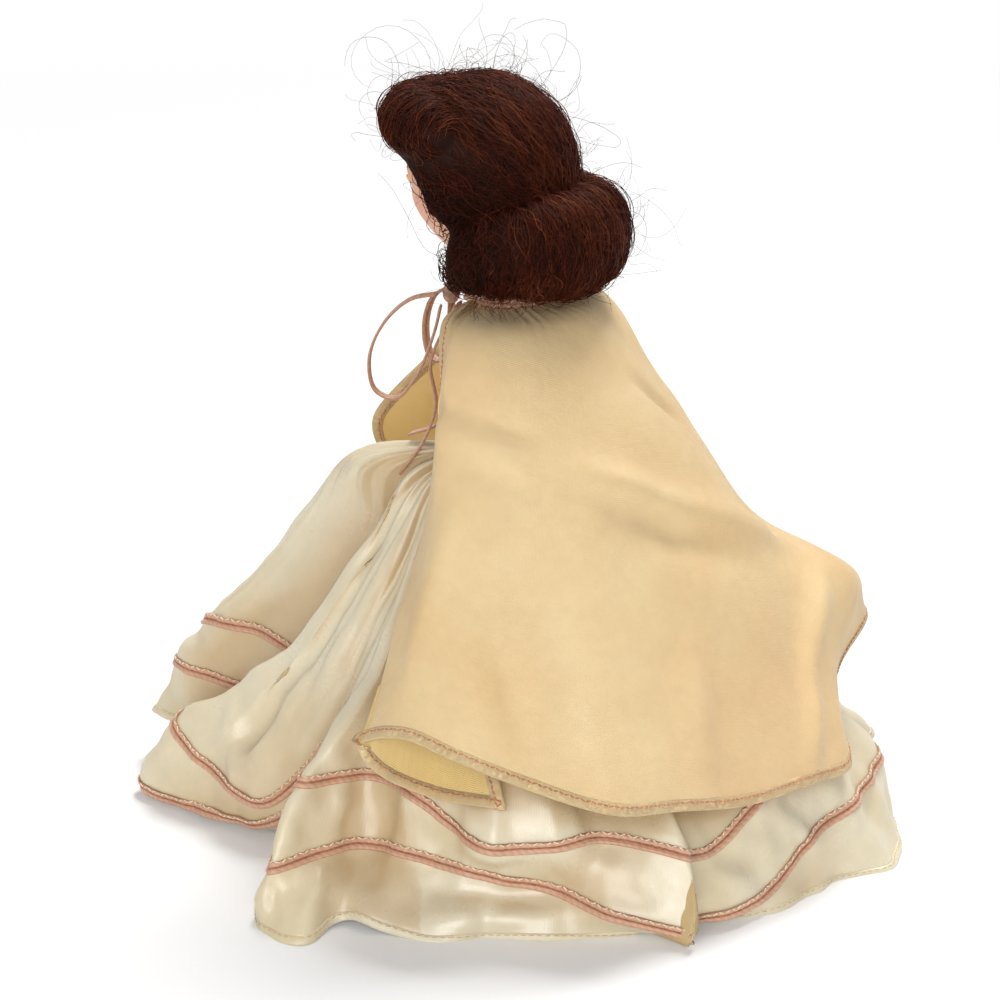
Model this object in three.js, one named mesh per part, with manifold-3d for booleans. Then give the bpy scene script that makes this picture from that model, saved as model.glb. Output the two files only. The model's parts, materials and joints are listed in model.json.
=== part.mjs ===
// A small strung hard-plastic doll in a ribbon-trimmed gown and a cape tied at the neck.
// Millimetres, +Z up. The doll stands on the origin, faces -Y, and its left side is +X.
import * as THREE from 'three';
import { mergeVertices } from 'three/addons/utils/BufferGeometryUtils.js';
import Module from 'manifold-3d';

const wasm = await Module();
wasm.setup();

// Fits
const GAP = 0.3; // between pieces that touch
const STRING_GAP = 0.6; // between a hook's wire and the rubber in it

// Trunk
const LEG_LENGTH = 66; // sole to hip axis
const TRUNK_LENGTH = 33.5; // hip axis to shoulder axis
const SHOULDER_RISE = 7; // shoulder axis to the trunk's top
const WAIST_RISE = 11; // hip axis to the waist
const CROTCH_DROP = 6.5; // hip axis to the trunk's lowest point
const CHEST_HALF = 12.3;
const CHEST_DEPTH = 8.4;
const WAIST_HALF = 9.6;
const WAIST_DEPTH = 7.6;
const HIP_HALF = 10.6;
const HIP_DEPTH = 8.6;
const TRUNK_WALL = 1.6;
const ARM_SEAT = 12.2; // half width between the flats that the arms turn on
const LEG_SEAT = 6.4; // half width of the web between the legs

// Head
const HEAD_HALF = 13.5;
const HEAD_DEPTH = 14;
const HEAD_RISE = 16.5;
const HEAD_FORWARD = 5; // centre of the head in front of the neck
const HEAD_WALL = 1.8;
const CHIN_RISE = 7; // trunk's top to the chin
const NECK_RADIUS = 5.2;
const NECK_SEAT = 1.8; // how deep the neck sits in the trunk
const NECK_LEDGE = 2; // floor of that seat
const EYE_RADIUS = 2.9;
const EYE_SPREAD = 5.2; // half distance between the eyes
const EYE_PROUD = 0.6; // how far an eye stands out of the face
const ROCKER_WEIGHT = 2;

// Limbs
const ARM_LENGTH = 33.5; // shoulder axis to the fingertips
const ARM_RADIUS = 4.3;
const ARM_SPLAY = 4.6; // how far the hand stands out past the shoulder
const HIP_BALL = 6.4;
const THIGH_RADIUS = 5.4;
const CALF_RADIUS = 4.2;
const ANKLE_RADIUS = 3.1;
const FOOT_LENGTH = 15;
const FOOT_WIDTH = 7.4;
const FOOT_RISE = 5.6;

// Stringing
const WIRE = 0.5; // radius of the hooks' wire
const ARM_EYE = 1.9; // radius of an arm hook's eye
const LEG_WIRE = 0.4;
const LEG_EYE = 1.3;
const RUBBER = 0.6; // radius of the rubber loops
const HIP_RUBBER = 0.45;
const SHANK_DEPTH = 4.6; // length of a hook's shank inside its limb

// Hair
const CAP_THICKNESS = 0.9;
const HAIR_DEPTH = 3.4; // dressed hair over the cap
const FRONT_ROLL = 4.6; // radius of the roll over the forehead
const FRONT_ROLL_TURN = 66; // degrees that it reaches to each side
const BACK_ROLL_THICK = 6.2; // half thickness of the page-boy roll
const BACK_ROLL_TALL = 10.6; // half height of it
const BACK_ROLL_TURN = 54; // degrees from the front where it starts
const HAIR_CLEAR = 1.4; // hair over the tied collar

// Clothes
const CLOTH = 0.8;
const COLLAR_THICK = 1.6;
const PETTICOAT_CLOTH = 0.6;
const PETTICOAT_HEM = 46; // radius at its hem
const PETTICOAT_LIFT = 8; // hem above the floor
const PETTICOAT_DROP = 3; // its top below the waist
const FOLD_DEPTH = 10; // what a fold of 1 in the skirt's table stands out
const CAPE_FLARE = 25; // what 1 in the cape's table stands out
const CAPE_LENGTH = 80; // top of the arms to the hem at the back
const RIBBON_WIDTH = 2.3;
const RIBBON_THICK = 0.5;
const RIBBON_SPACING = 14; // cloth between the skirt's two ribbons
const COLLAR_HEIGHT = 2.2;
const KNOT_SIZE = 1.9; // half size of the bow's knot
const KNOT_TURN = 20; // the bow sits a little to the doll's left
const LOOP_TURNS = [22, -4]; // the planes of its loops, left and right
const TAIL_TURNS = [23, 6];

// Places that follow from the sizes above
const hipZ = LEG_LENGTH;
const shoulderZ = hipZ + TRUNK_LENGTH;
const waistZ = hipZ + WAIST_RISE;
const trunkTop = shoulderZ + SHOULDER_RISE;
const headZ = trunkTop + CHIN_RISE + HEAD_RISE;
const neckBottom = trunkTop - NECK_SEAT;
const ledgeBottom = neckBottom - GAP - NECK_LEDGE;
const crotchZ = hipZ - CROTCH_DROP;
const armTop = shoulderZ + ARM_RADIUS;
const armInside = ARM_SEAT + GAP;
const legInside = LEG_SEAT + GAP;
const hipX = legInside + HIP_BALL * 0.36;
const collarZ = trunkTop + GAP;
const beyond = 3 * shoulderZ; // past everything, for the cutting blocks

const colours = {
  plastic: 0xc69a78, face: 0xc69a78, wire: 0x9a958c, rubber: 0x5d4a3a, hair: 0x3a1c14, cap: 0x6b5546,
  satin: 0xe3dac6, cotton: 0xe9e4d8, taffeta: 0xf0deac, ribbon: 0xc78f76, eye: 0xd8d4cc, lead: 0x77767a,
};
const finishes = {
  plastic: [0.45, 0], face: [0.45, 0], wire: [0.35, 0.9], rubber: [0.8, 0], hair: [0.6, 0], cap: [0.9, 0],
  satin: [0.35, 0], cotton: [0.9, 0], taffeta: [0.45, 0], ribbon: [0.5, 0], eye: [0.15, 0], lead: [0.6, 0.6],
};

const doll = new THREE.Group();

function addPiece(name, finish, geometry) {
  const [roughness, metalness] = finishes[finish];
  const material = new THREE.MeshStandardMaterial({ color: colours[finish], roughness, metalness });
  const piece = new THREE.Mesh(geometry, material);
  piece.name = name;
  doll.add(piece);
}

// Boolean work on closed geometries
function solid(geometry) {
  const plain = geometry.clone();
  for (const name of Object.keys(plain.attributes)) {
    if (name !== 'position') plain.deleteAttribute(name);
  }
  const merged = mergeVertices(plain, 1e-4);
  const vertProperties = new Float32Array(merged.attributes.position.array);
  const triVerts = new Uint32Array(merged.index.array);
  return new wasm.Manifold(new wasm.Mesh({ numProp: 3, vertProperties, triVerts }));
}

function geometryOf(body) {
  const mesh = body.getMesh();
  const geometry = new THREE.BufferGeometry();
  geometry.setAttribute('position', new THREE.BufferAttribute(new Float32Array(mesh.vertProperties), 3));
  geometry.setIndex(new THREE.BufferAttribute(new Uint32Array(mesh.triVerts), 1));
  return geometry;
}

function joined(first, ...others) {
  return others.reduce((sum, other) => sum.add(other), first);
}

function cutBy(first, ...others) {
  return others.reduce((rest, other) => rest.subtract(other), first);
}

// Places round the doll: degrees from the front towards its left, radius, height
function polar(degrees, radius, z) {
  const angle = THREE.MathUtils.degToRad(degrees);
  return new THREE.Vector3(radius * Math.sin(angle), -radius * Math.cos(angle), z);
}

function closedGeometry(points, faces) {
  let volume = 0;
  for (let i = 0; i < faces.length; i += 3) {
    const [a, b, c] = [points[faces[i]], points[faces[i + 1]], points[faces[i + 2]]];
    volume += a.dot(new THREE.Vector3().crossVectors(b, c));
  }
  if (volume < 0) faces.reverse();
  const geometry = new THREE.BufferGeometry();
  geometry.setAttribute('position', new THREE.Float32BufferAttribute(points.flatMap((p) => p.toArray()), 3));
  geometry.setIndex(faces);
  return geometry;
}

// A closed skin through rings of points, with a fan over each end
function loft(rings) {
  const count = rings[0].length;
  const points = rings.flat();
  const faces = [];
  for (let i = 0; i + 1 < rings.length; i++) {
    for (let j = 0; j < count; j++) {
      const next = (j + 1) % count;
      const [a, b, c, d] = [i * count + j, i * count + next, (i + 1) * count + j, (i + 1) * count + next];
      faces.push(a, b, d, a, d, c);
    }
  }
  for (const [row, turn] of [[0, -1], [rings.length - 1, 1]]) {
    const middle = rings[row].reduce((sum, p) => sum.add(p), new THREE.Vector3()).divideScalar(count);
    points.push(middle);
    for (let j = 0; j < count; j++) {
      const ends = [row * count + j, row * count + ((j + 1) % count)];
      if (turn < 0) ends.reverse();
      faces.push(points.length - 1, ...ends);
    }
  }
  return closedGeometry(points, faces);
}

function levelRing(x, y, z, halfWidth, halfDepth, sides) {
  return Array.from({ length: sides }, (_, k) => {
    const angle = (2 * Math.PI * k) / sides;
    return new THREE.Vector3(x + halfWidth * Math.cos(angle), y + halfDepth * Math.sin(angle), z);
  });
}

function ellipsoid(centre, halfWidth, halfDepth, halfHeight, around = 24, rows = 16) {
  const geometry = new THREE.SphereGeometry(1, around, rows).rotateX(Math.PI / 2);
  geometry.scale(halfWidth, halfDepth, halfHeight).translate(...centre);
  return solid(geometry);
}

function block(low, high) {
  const size = high.map((value, k) => value - low[k]);
  const centre = high.map((value, k) => (value + low[k]) / 2);
  return solid(new THREE.BoxGeometry(...size).translate(...centre));
}

// A round bar along X or Z
function bar(axis, radius, start, end, centre, sides = 16) {
  const geometry = new THREE.CylinderGeometry(radius, radius, end - start, sides);
  if (axis === 'x') {
    geometry.rotateZ(-Math.PI / 2).translate((start + end) / 2, centre[0], centre[1]);
  } else {
    geometry.rotateX(Math.PI / 2).translate(centre[0], centre[1], (start + end) / 2);
  }
  return solid(geometry);
}

function roundSection(radius, sides) {
  const corners = Array.from({ length: sides }, (_, k) => {
    const angle = (2 * Math.PI * k) / sides;
    return new THREE.Vector2(radius * Math.cos(angle), radius * Math.sin(angle));
  });
  return new THREE.Shape(corners);
}

function wire(points, radius, steps, sides = 6) {
  const extrudePath = new THREE.CatmullRomCurve3(points, false, 'centripetal');
  return new THREE.ExtrudeGeometry(roundSection(radius, sides), { steps, bevelEnabled: false, extrudePath });
}

function rubberLoop(points, radius, steps) {
  const path = new THREE.CatmullRomCurve3(points, true, 'centripetal');
  return new THREE.TubeGeometry(path, steps, radius, 6, true);
}

// Cloth: a grid of points, rows downwards and columns round the doll, given a thickness inwards
function inwardNormals(grid, wrap) {
  const rows = grid.length;
  const columns = grid[0].length;
  return grid.map((row, i) => row.map((_, j) => {
    const before = wrap ? (j + columns - 1) % columns : Math.max(j - 1, 0);
    const after = wrap ? (j + 1) % columns : Math.min(j + 1, columns - 1);
    const along = row[after].clone().sub(row[before]);
    const down = grid[Math.min(i + 1, rows - 1)][j].clone().sub(grid[Math.max(i - 1, 0)][j]);
    return along.cross(down).normalize();
  }));
}

function movedGrid(grid, distance, wrap) {
  const normals = inwardNormals(grid, wrap);
  return grid.map((row, i) => row.map((p, j) => p.clone().addScaledVector(normals[i][j], distance)));
}

function clothSolid(grid, thickness, wrap, levelHem = false) {
  const inner = movedGrid(grid, thickness, wrap);
  const last = grid.length - 1;
  if (levelHem) inner[last].forEach((p, j) => p.setZ(grid[last][j].z));
  return layeredSolid(grid, inner, wrap);
}

function layeredSolid(outer, inner, wrap) {
  const rows = outer.length;
  const columns = outer[0].length;
  const points = [...outer.flat(), ...inner.flat()];
  const at = (layer, i, j) => layer * rows * columns + i * columns + (j % columns);
  const faces = [];
  const quad = (a, b, c, d) => faces.push(a, b, c, a, c, d);
  const spans = wrap ? columns : columns - 1;
  for (let j = 0; j < spans; j++) {
    for (let i = 0; i + 1 < rows; i++) {
      quad(at(0, i, j), at(0, i + 1, j), at(0, i + 1, j + 1), at(0, i, j + 1));
      quad(at(1, i, j), at(1, i, j + 1), at(1, i + 1, j + 1), at(1, i + 1, j));
    }
    quad(at(0, 0, j), at(0, 0, j + 1), at(1, 0, j + 1), at(1, 0, j));
    const last = rows - 1;
    quad(at(0, last, j), at(1, last, j), at(1, last, j + 1), at(0, last, j + 1));
  }
  if (!wrap) {
    for (let i = 0; i + 1 < rows; i++) {
      const edge = columns - 1;
      quad(at(0, i, 0), at(1, i, 0), at(1, i + 1, 0), at(0, i + 1, 0));
      quad(at(0, i, edge), at(0, i + 1, edge), at(1, i + 1, edge), at(1, i, edge));
    }
  }
  return closedGeometry(points, faces);
}

// Trunk: a hollow lofted shell in two halves, with flats, bores and a seat for the neck
const trunkStations = [
  [crotchZ, LEG_SEAT * 0.8, HIP_DEPTH * 0.66],
  [hipZ - CROTCH_DROP * 0.5, HIP_HALF * 0.9, HIP_DEPTH * 0.94],
  [hipZ + WAIST_RISE * 0.35, HIP_HALF, HIP_DEPTH],
  [waistZ, WAIST_HALF, WAIST_DEPTH],
  [waistZ + (shoulderZ - waistZ) * 0.45, CHEST_HALF * 0.93, CHEST_DEPTH * 0.98],
  [waistZ + (shoulderZ - waistZ) * 0.8, CHEST_HALF, CHEST_DEPTH],
  [shoulderZ + SHOULDER_RISE * 0.2, CHEST_HALF * 0.99, CHEST_DEPTH * 0.92],
  [shoulderZ + SHOULDER_RISE * 0.65, CHEST_HALF * 0.82, CHEST_DEPTH * 0.84],
  [trunkTop, NECK_RADIUS + TRUNK_WALL, NECK_RADIUS + TRUNK_WALL],
];

function trunkForm(offset, low, high) {
  const rings = trunkStations
    .filter(([z]) => z >= low && z <= high)
    .map(([z, halfWidth, halfDepth]) => levelRing(0, 0, z, halfWidth + offset, halfDepth + offset, 20));
  return solid(loft(rings));
}

function trunkShell() {
  let body = trunkForm(0, crotchZ, trunkTop);
  const cavity = trunkForm(-TRUNK_WALL, waistZ, trunkTop);
  const belly = block([-beyond, -beyond, waistZ], [beyond, beyond, ledgeBottom]);
  const slotHalf = LEG_SEAT - TRUNK_WALL;
  const slotDepth = WAIST_DEPTH - TRUNK_WALL;
  const slotBottom = crotchZ + 2 * TRUNK_WALL;
  const slot = block([-slotHalf, -slotDepth, slotBottom], [slotHalf, slotDepth, waistZ + TRUNK_WALL]);
  const neckSeat = bar('z', NECK_RADIUS + GAP, neckBottom - GAP, trunkTop + 1, [0, 0], 24);
  const neckHole = bar('z', NECK_RADIUS - TRUNK_WALL, ledgeBottom - 1, trunkTop, [0, 0], 24);
  body = cutBy(body, cavity.intersect(belly), slot, neckSeat, neckHole);
  for (const side of [-1, 1]) {
    const outside = (start) => (side > 0 ? [start, beyond] : [-beyond, -start]);
    const armBore = bar('x', WIRE + GAP, ...outside(ARM_SEAT / 2), [0, shoulderZ], 12);
    const legBore = bar('x', LEG_WIRE + GAP, ...outside(LEG_SEAT / 2), [0, hipZ], 12);
    const [armNear, armFar] = outside(ARM_SEAT);
    const armFlat = block([armNear, -beyond, waistZ], [armFar, beyond, trunkTop]);
    const [legNear, legFar] = outside(LEG_SEAT);
    const legArch = bar('x', HIP_BALL + 2 * GAP, legNear, legFar, [0, hipZ], 28);
    const legRoom = block([legNear, -beyond, 0], [legFar, beyond, hipZ]);
    body = cutBy(body, armBore, legBore, armFlat, legArch, legRoom);
  }
  return body;
}

function halves(body) {
  const front = body.intersect(block([-beyond, -beyond, 0], [beyond, 0, beyond]));
  const back = body.intersect(block([-beyond, 0, 0], [beyond, beyond, beyond]));
  return [geometryOf(front), geometryOf(back)];
}

// Head: a rounded skull with cheeks, nose and chin, hollow, on a solid neck
const headCentre = [0, -HEAD_FORWARD, headZ];

function headForm(grow, around = 20, rows = 14) {
  const geometry = new THREE.SphereGeometry(1, around, rows).rotateX(Math.PI / 2);
  const position = geometry.attributes.position;
  const p = new THREE.Vector3();
  for (let k = 0; k < position.count; k++) {
    p.fromBufferAttribute(position, k);
    const front = Math.max(-p.y, 0);
    const jaw = 1 - 0.2 * Math.max(-p.z, 0) ** 2;
    const cheek = 1 + 0.05 * front * Math.exp(-(((p.z + 0.3) / 0.25) ** 2));
    const nose = 0.1 * front * Math.exp(-((p.x / 0.13) ** 2) - ((p.z + 0.12) / 0.14) ** 2);
    const chin = 0.06 * front * Math.exp(-((p.x / 0.25) ** 2) - ((p.z + 0.72) / 0.16) ** 2);
    p.set(p.x * jaw * cheek, p.y * (jaw * cheek + nose + chin), p.z);
    p.set(p.x * (HEAD_HALF + grow), p.y * (HEAD_DEPTH + grow), p.z * (HEAD_RISE + grow));
    position.setXYZ(k, p.x, p.y - HEAD_FORWARD, p.z + headZ);
  }
  return solid(geometry);
}

const eyeZ = headZ + HEAD_RISE * 0.06;
const eyeSurface = HEAD_FORWARD + HEAD_DEPTH * Math.sqrt(1 - (EYE_SPREAD / HEAD_HALF) ** 2);
const eyeY = -(eyeSurface + EYE_PROUD - EYE_RADIUS);

function headShell() {
  const neckTop = headZ - HEAD_RISE * 0.6;
  const skull = joined(headForm(0), bar('z', NECK_RADIUS, neckBottom, neckTop, [0, 0], 16));
  const inside = (size) => size - HEAD_WALL;
  const hollow = [inside(HEAD_HALF) * 0.94, inside(HEAD_DEPTH) * 0.96, inside(HEAD_RISE) * 0.86];
  const cavity = ellipsoid(headCentre, ...hollow, 16, 10);
  const hookBore = bar('z', WIRE + GAP, neckBottom - 1, neckBottom + SHANK_DEPTH + GAP, [0, 0], 12);
  const sockets = [-1, 1].map((side) => {
    const socket = EYE_RADIUS + GAP;
    return ellipsoid([side * EYE_SPREAD, eyeY, eyeZ], socket, socket, socket, 12, 8);
  });
  return cutBy(skull, cavity, hookBore, ...sockets);
}

function eyeball(side) {
  return geometryOf(ellipsoid([side * EYE_SPREAD, eyeY, eyeZ], EYE_RADIUS, EYE_RADIUS, EYE_RADIUS, 12, 8));
}

// The wire between the eyes, with the weight that shuts them when the doll lies on its back
function eyeRocker() {
  const end = EYE_SPREAD - EYE_RADIUS - GAP;
  const weightY = eyeY + 2.1 * EYE_RADIUS;
  const weightZ = eyeZ - 2.7 * EYE_RADIUS;
  const bow = [
    [end, eyeY, eyeZ], [end * 0.55, eyeY + EYE_RADIUS * 0.3, eyeZ - EYE_RADIUS * 0.3],
    [0, eyeY + EYE_RADIUS * 0.5, eyeZ - EYE_RADIUS * 0.5],
    [-end * 0.55, eyeY + EYE_RADIUS * 0.3, eyeZ - EYE_RADIUS * 0.3], [-end, eyeY, eyeZ],
  ].map((p) => new THREE.Vector3(...p));
  const stem = [new THREE.Vector3(0, bow[2].y, bow[2].z), new THREE.Vector3(0, weightY, weightZ)];
  const weight = ellipsoid([0, weightY, weightZ], ROCKER_WEIGHT, ROCKER_WEIGHT, ROCKER_WEIGHT * 1.2, 10, 8);
  const crossBar = solid(wire(bow, WIRE, 10));
  return geometryOf(joined(crossBar, solid(wire(stem, WIRE, 2)), weight));
}

// Arms: bent a little at the elbow, mitten hands, a flat where they turn on the trunk
function arm(side) {
  const x = armInside + ARM_RADIUS;
  const stations = [
    [-1, 0, 0, 0.3, 0.3], [-0.85, 0, 0, 0.62, 0.62], [-0.35, 0, 0, 0.98, 0.96], [0.35, 0, 0, 1.04, 1],
  ].map(([drop, out, back, wide, deep]) => [drop * ARM_RADIUS, out, back, wide, deep]);
  const rest = [
    [0.35, 0.4, 0.3, 0.86, 0.88], [0.5, 0.55, 0.6, 0.78, 0.82], [0.62, 0.66, 0.2, 0.78, 0.8],
    [0.8, 0.88, -1.4, 0.54, 0.6], [0.86, 0.94, -2, 0.5, 0.62], [0.95, 1, -2.9, 0.44, 0.64],
    [1, 1, -3.3, 0.2, 0.3],
  ].map(([share, out, back, wide, deep]) => [share * ARM_LENGTH, out * ARM_SPLAY, back, wide, deep]);
  const rings = [...stations, ...rest].map(([drop, out, back, wide, deep]) =>
    levelRing(side * (x + out), back, shoulderZ - drop, wide * ARM_RADIUS, deep * ARM_RADIUS, 14));
  const [near, far] = side > 0 ? [-beyond, armInside] : [-armInside, beyond];
  const inside = block([near, -beyond, 0], [far, beyond, beyond]);
  const ends = [side * (armInside - 1), side * (armInside + SHANK_DEPTH + GAP)].sort((a, b) => a - b);
  const bore = bar('x', WIRE + GAP, ...ends, [0, shoulderZ], 12);
  return geometryOf(cutBy(solid(loft(rings)), inside, bore));
}

// Legs: straight, with slippers moulded on, flat soles on the floor
function leg(side) {
  const ankleZ = FOOT_RISE * 1.5;
  const inward = 1.2;
  const stations = [
    [hipZ - HIP_BALL * 0.2, 0, 1.1 * THIGH_RADIUS], [hipZ * 0.8, 0.2, THIGH_RADIUS],
    [hipZ * 0.56, 0.6, CALF_RADIUS * 0.98], [hipZ * 0.5, 0.6, CALF_RADIUS * 0.94],
    [hipZ * 0.36, 0.8, CALF_RADIUS], [ankleZ, 1, ANKLE_RADIUS], [FOOT_RISE * 0.4, 1, ANKLE_RADIUS],
  ];
  const x = (share) => side * (hipX - inward * share);
  const shank = loft(stations.map(([z, share, radius]) => levelRing(x(share), 0, z, radius, radius, 14)));
  const ball = ellipsoid([side * hipX, 0, hipZ], HIP_BALL, HIP_BALL, HIP_BALL, 14, 10);
  const heel = 0.3 * FOOT_LENGTH;
  const footStations = [
    [0, 0.4, 0.5], [0.1, 0.72, 0.9], [0.35, 0.8, 1], [0.65, 1, 0.86], [0.88, 0.86, 0.62], [1, 0.4, 0.3],
  ];
  const foot = loft(footStations.map(([share, wide, tall]) => {
    const y = heel - share * FOOT_LENGTH;
    return Array.from({ length: 14 }, (_, k) => {
      const angle = (2 * Math.PI * k) / 14;
      const z = FOOT_RISE * tall * (0.45 + 0.6 * Math.sin(angle));
      return new THREE.Vector3(x(1) + (FOOT_WIDTH / 2) * wide * Math.cos(angle), y, z);
    });
  }));
  const [near, far] = side > 0 ? [-beyond, legInside] : [-legInside, beyond];
  const web = block([near, -beyond, hipZ - HIP_BALL * 1.6], [far, beyond, beyond]);
  const ground = block([-beyond, -beyond, -beyond], [beyond, beyond, 0]);
  const ends = [side * (legInside - 1), side * (legInside + SHANK_DEPTH + GAP)].sort((a, b) => a - b);
  const bore = bar('x', LEG_WIRE + GAP, ...ends, [0, hipZ], 12);
  return geometryOf(cutBy(joined(solid(shank), ball, solid(foot)), web, ground, bore));
}

// Stringing: bent wire hooks in the limbs and neck, with rubber loops between them
function eyeArc(centre, out, up, radius) {
  const steps = 12;
  const sweep = THREE.MathUtils.degToRad(300);
  return Array.from({ length: steps + 1 }, (_, k) => {
    const angle = (sweep * k) / steps;
    const p = centre.clone().addScaledVector(out, radius * Math.cos(angle));
    return p.addScaledVector(up, radius * Math.sin(angle));
  });
}

const upward = new THREE.Vector3(0, 0, 1);
const sideways = new THREE.Vector3(1, 0, 0);
const armEyeX = ARM_SEAT - TRUNK_WALL - GAP - WIRE - ARM_EYE;
const legEyeX = LEG_SEAT - TRUNK_WALL - GAP - LEG_WIRE - LEG_EYE;
const headEyeZ = neckBottom - GAP - WIRE - ARM_EYE;

function limbHook(side, z, eyeX, eyeRadius, wireRadius, shankEnd) {
  const out = sideways.clone().multiplyScalar(side);
  const arc = eyeArc(new THREE.Vector3(side * eyeX, 0, z), out, upward, eyeRadius);
  const shank = [shankEnd, (shankEnd + eyeX + eyeRadius) / 2].map((x) => new THREE.Vector3(side * x, 0, z));
  return wire([...shank, ...arc], wireRadius, 22);
}

function headHook() {
  const arc = eyeArc(new THREE.Vector3(0, 0, headEyeZ), upward, sideways, ARM_EYE);
  const shankTop = neckBottom + SHANK_DEPTH;
  const shank = [shankTop, (shankTop + headEyeZ + ARM_EYE) / 2].map((z) => new THREE.Vector3(0, 0, z));
  return wire([...shank, ...arc], WIRE, 22);
}

// A rubber loop lying level between the hooks of two limbs
function limbBand(z, eyeX, eyeRadius, wireRadius, radius) {
  const spread = wireRadius + STRING_GAP + radius;
  const turn = eyeX - eyeRadius + wireRadius;
  const end = turn + spread * 0.9;
  const corner = turn + spread * 0.4;
  const rightEnd = [
    [turn * 0.6, spread], [corner, spread * 0.85], [end, 0], [corner, -spread * 0.85], [turn * 0.6, -spread],
  ];
  const points = [...rightEnd, ...rightEnd.map(([x, y]) => [-x, -y])];
  return rubberLoop(points.map(([x, y]) => new THREE.Vector3(x, y, z)), radius, 30);
}

// The rubber loop from the head's hook down round the hip loop
function neckBand() {
  const clearOfShoulders = WIRE + 2 * STRING_GAP + 3.2 * RUBBER;
  const bottom = hipZ - HIP_RUBBER - 2 * STRING_GAP - RUBBER;
  const half = [
    [0, headEyeZ], [clearOfShoulders * 0.56, headEyeZ - WIRE], [clearOfShoulders, headEyeZ - ARM_EYE],
    [clearOfShoulders, waistZ], [clearOfShoulders, hipZ], [clearOfShoulders * 0.6, bottom + RUBBER],
    [0, bottom],
  ];
  const other = half.slice(1, -1).reverse().map(([y, z]) => [-y, z]);
  return rubberLoop([...half, ...other].map(([y, z]) => new THREE.Vector3(0, y, z)), RUBBER, 36);
}

// Hair: a sewn cap on the skull and the dressed hair over it, open at the face
function faceCut(tilt, forward) {
  const geometry = new THREE.BoxGeometry(beyond, beyond, beyond).translate(0, -beyond / 2, 0);
  geometry.rotateX(THREE.MathUtils.degToRad(tilt)).translate(0, -HEAD_FORWARD - forward, headZ);
  return solid(geometry);
}

function wigCap() {
  const outer = headForm(GAP + CAP_THICKNESS);
  const neckRoom = block([-beyond, -beyond, 0], [beyond, beyond, headZ - HEAD_RISE * 0.45]);
  return geometryOf(cutBy(outer, headForm(GAP), faceCut(-32, HEAD_DEPTH * 0.38), neckRoom));
}

function hairRoll(start, end, pathRadius, z, thick, tall) {
  const steps = 14;
  const rings = Array.from({ length: steps + 1 }, (_, k) => {
    const share = k / steps;
    const degrees = start + (end - start) * share;
    const taper = Math.sqrt(Math.max(1 - Math.abs(2 * share - 1) ** 6, 0.08));
    return Array.from({ length: 10 }, (_unused, n) => {
      const angle = (2 * Math.PI * n) / 10;
      const radius = pathRadius + thick * taper * Math.cos(angle);
      const p = polar(degrees, radius, z + tall * taper * Math.sin(angle));
      return p.setY(p.y - HEAD_FORWARD * 0.6);
    });
  });
  return solid(loft(rings));
}

function wigHair() {
  const inner = GAP + CAP_THICKNESS;
  const over = inner + HAIR_DEPTH;
  const crownSize = [HEAD_HALF + over, HEAD_DEPTH + over, HEAD_RISE + over - GAP];
  const crown = ellipsoid([0, -HEAD_FORWARD * 1.2, headZ + GAP], ...crownSize, 18, 12);
  const rollZ = collarZ + COLLAR_HEIGHT + HAIR_CLEAR - 2 + BACK_ROLL_TALL;
  const pathRadius = HEAD_HALF + inner + BACK_ROLL_THICK * 0.3;
  const frontRadius = HEAD_DEPTH + FRONT_ROLL * 0.55;
  const frontZ = headZ + HEAD_RISE * 0.6;
  const frontRoll = hairRoll(-FRONT_ROLL_TURN, FRONT_ROLL_TURN, frontRadius, frontZ, FRONT_ROLL, FRONT_ROLL);
  const backEnd = 360 - BACK_ROLL_TURN;
  const backRoll = hairRoll(BACK_ROLL_TURN, backEnd, pathRadius, rollZ, BACK_ROLL_THICK, BACK_ROLL_TALL);
  const room = headForm(inner + GAP);
  const crownFloor = block([-beyond, -beyond, 0], [beyond, beyond, rollZ + BACK_ROLL_TALL * 0.2]);
  const faceWidth = HEAD_HALF * 0.86;
  const faceTop = headZ + HEAD_RISE * 0.42;
  const faceMiddle = [0, -HEAD_FORWARD - HEAD_DEPTH, headZ - HEAD_RISE * 0.4];
  const face = ellipsoid(faceMiddle, faceWidth, HEAD_DEPTH * 1.05, faceTop - faceMiddle[2], 14, 10);
  const neckRoom = bar('z', NECK_RADIUS + 3, 0, headZ, [0, 0], 12);
  return geometryOf(cutBy(joined(cutBy(crown, crownFloor), frontRoll, backRoll), room, face, neckRoom));
}

// Gown: a sleeveless bodice, a cone of petticoat and a full skirt in deep folds
function bodice() {
  const low = waistZ;
  const high = shoulderZ + SHOULDER_RISE * 0.65;
  const outer = trunkForm(GAP + CLOTH, low, high);
  const inner = trunkForm(GAP, low - 1, trunkTop);
  const armholes = [-1, 1].map((side) => {
    const ends = side > 0 ? [CHEST_HALF * 0.45, beyond] : [-beyond, -CHEST_HALF * 0.45];
    return bar('x', ARM_RADIUS + 2.4, ...ends, [0, shoulderZ], 14);
  });
  const trimLow = block([-beyond, -beyond, 0], [beyond, beyond, waistZ + GAP]);
  const trimTop = block([-beyond, -beyond, shoulderZ + SHOULDER_RISE * 0.3], [beyond, beyond, beyond]);
  return geometryOf(cutBy(outer, inner, trimLow, trimTop, ...armholes));
}

const petticoatTop = waistZ - PETTICOAT_DROP;
const petticoatTopRadius = HIP_HALF + 2.6;
const petticoatHipRadius = hipX + HIP_BALL + 1.8;

function petticoatRadius(z) {
  if (z > hipZ) {
    const share = (z - hipZ) / (petticoatTop - hipZ);
    return petticoatHipRadius + (petticoatTopRadius - petticoatHipRadius) * share;
  }
  const share = (hipZ - z) / (hipZ - PETTICOAT_LIFT);
  return petticoatHipRadius + (PETTICOAT_HEM - petticoatHipRadius) * share;
}

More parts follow.
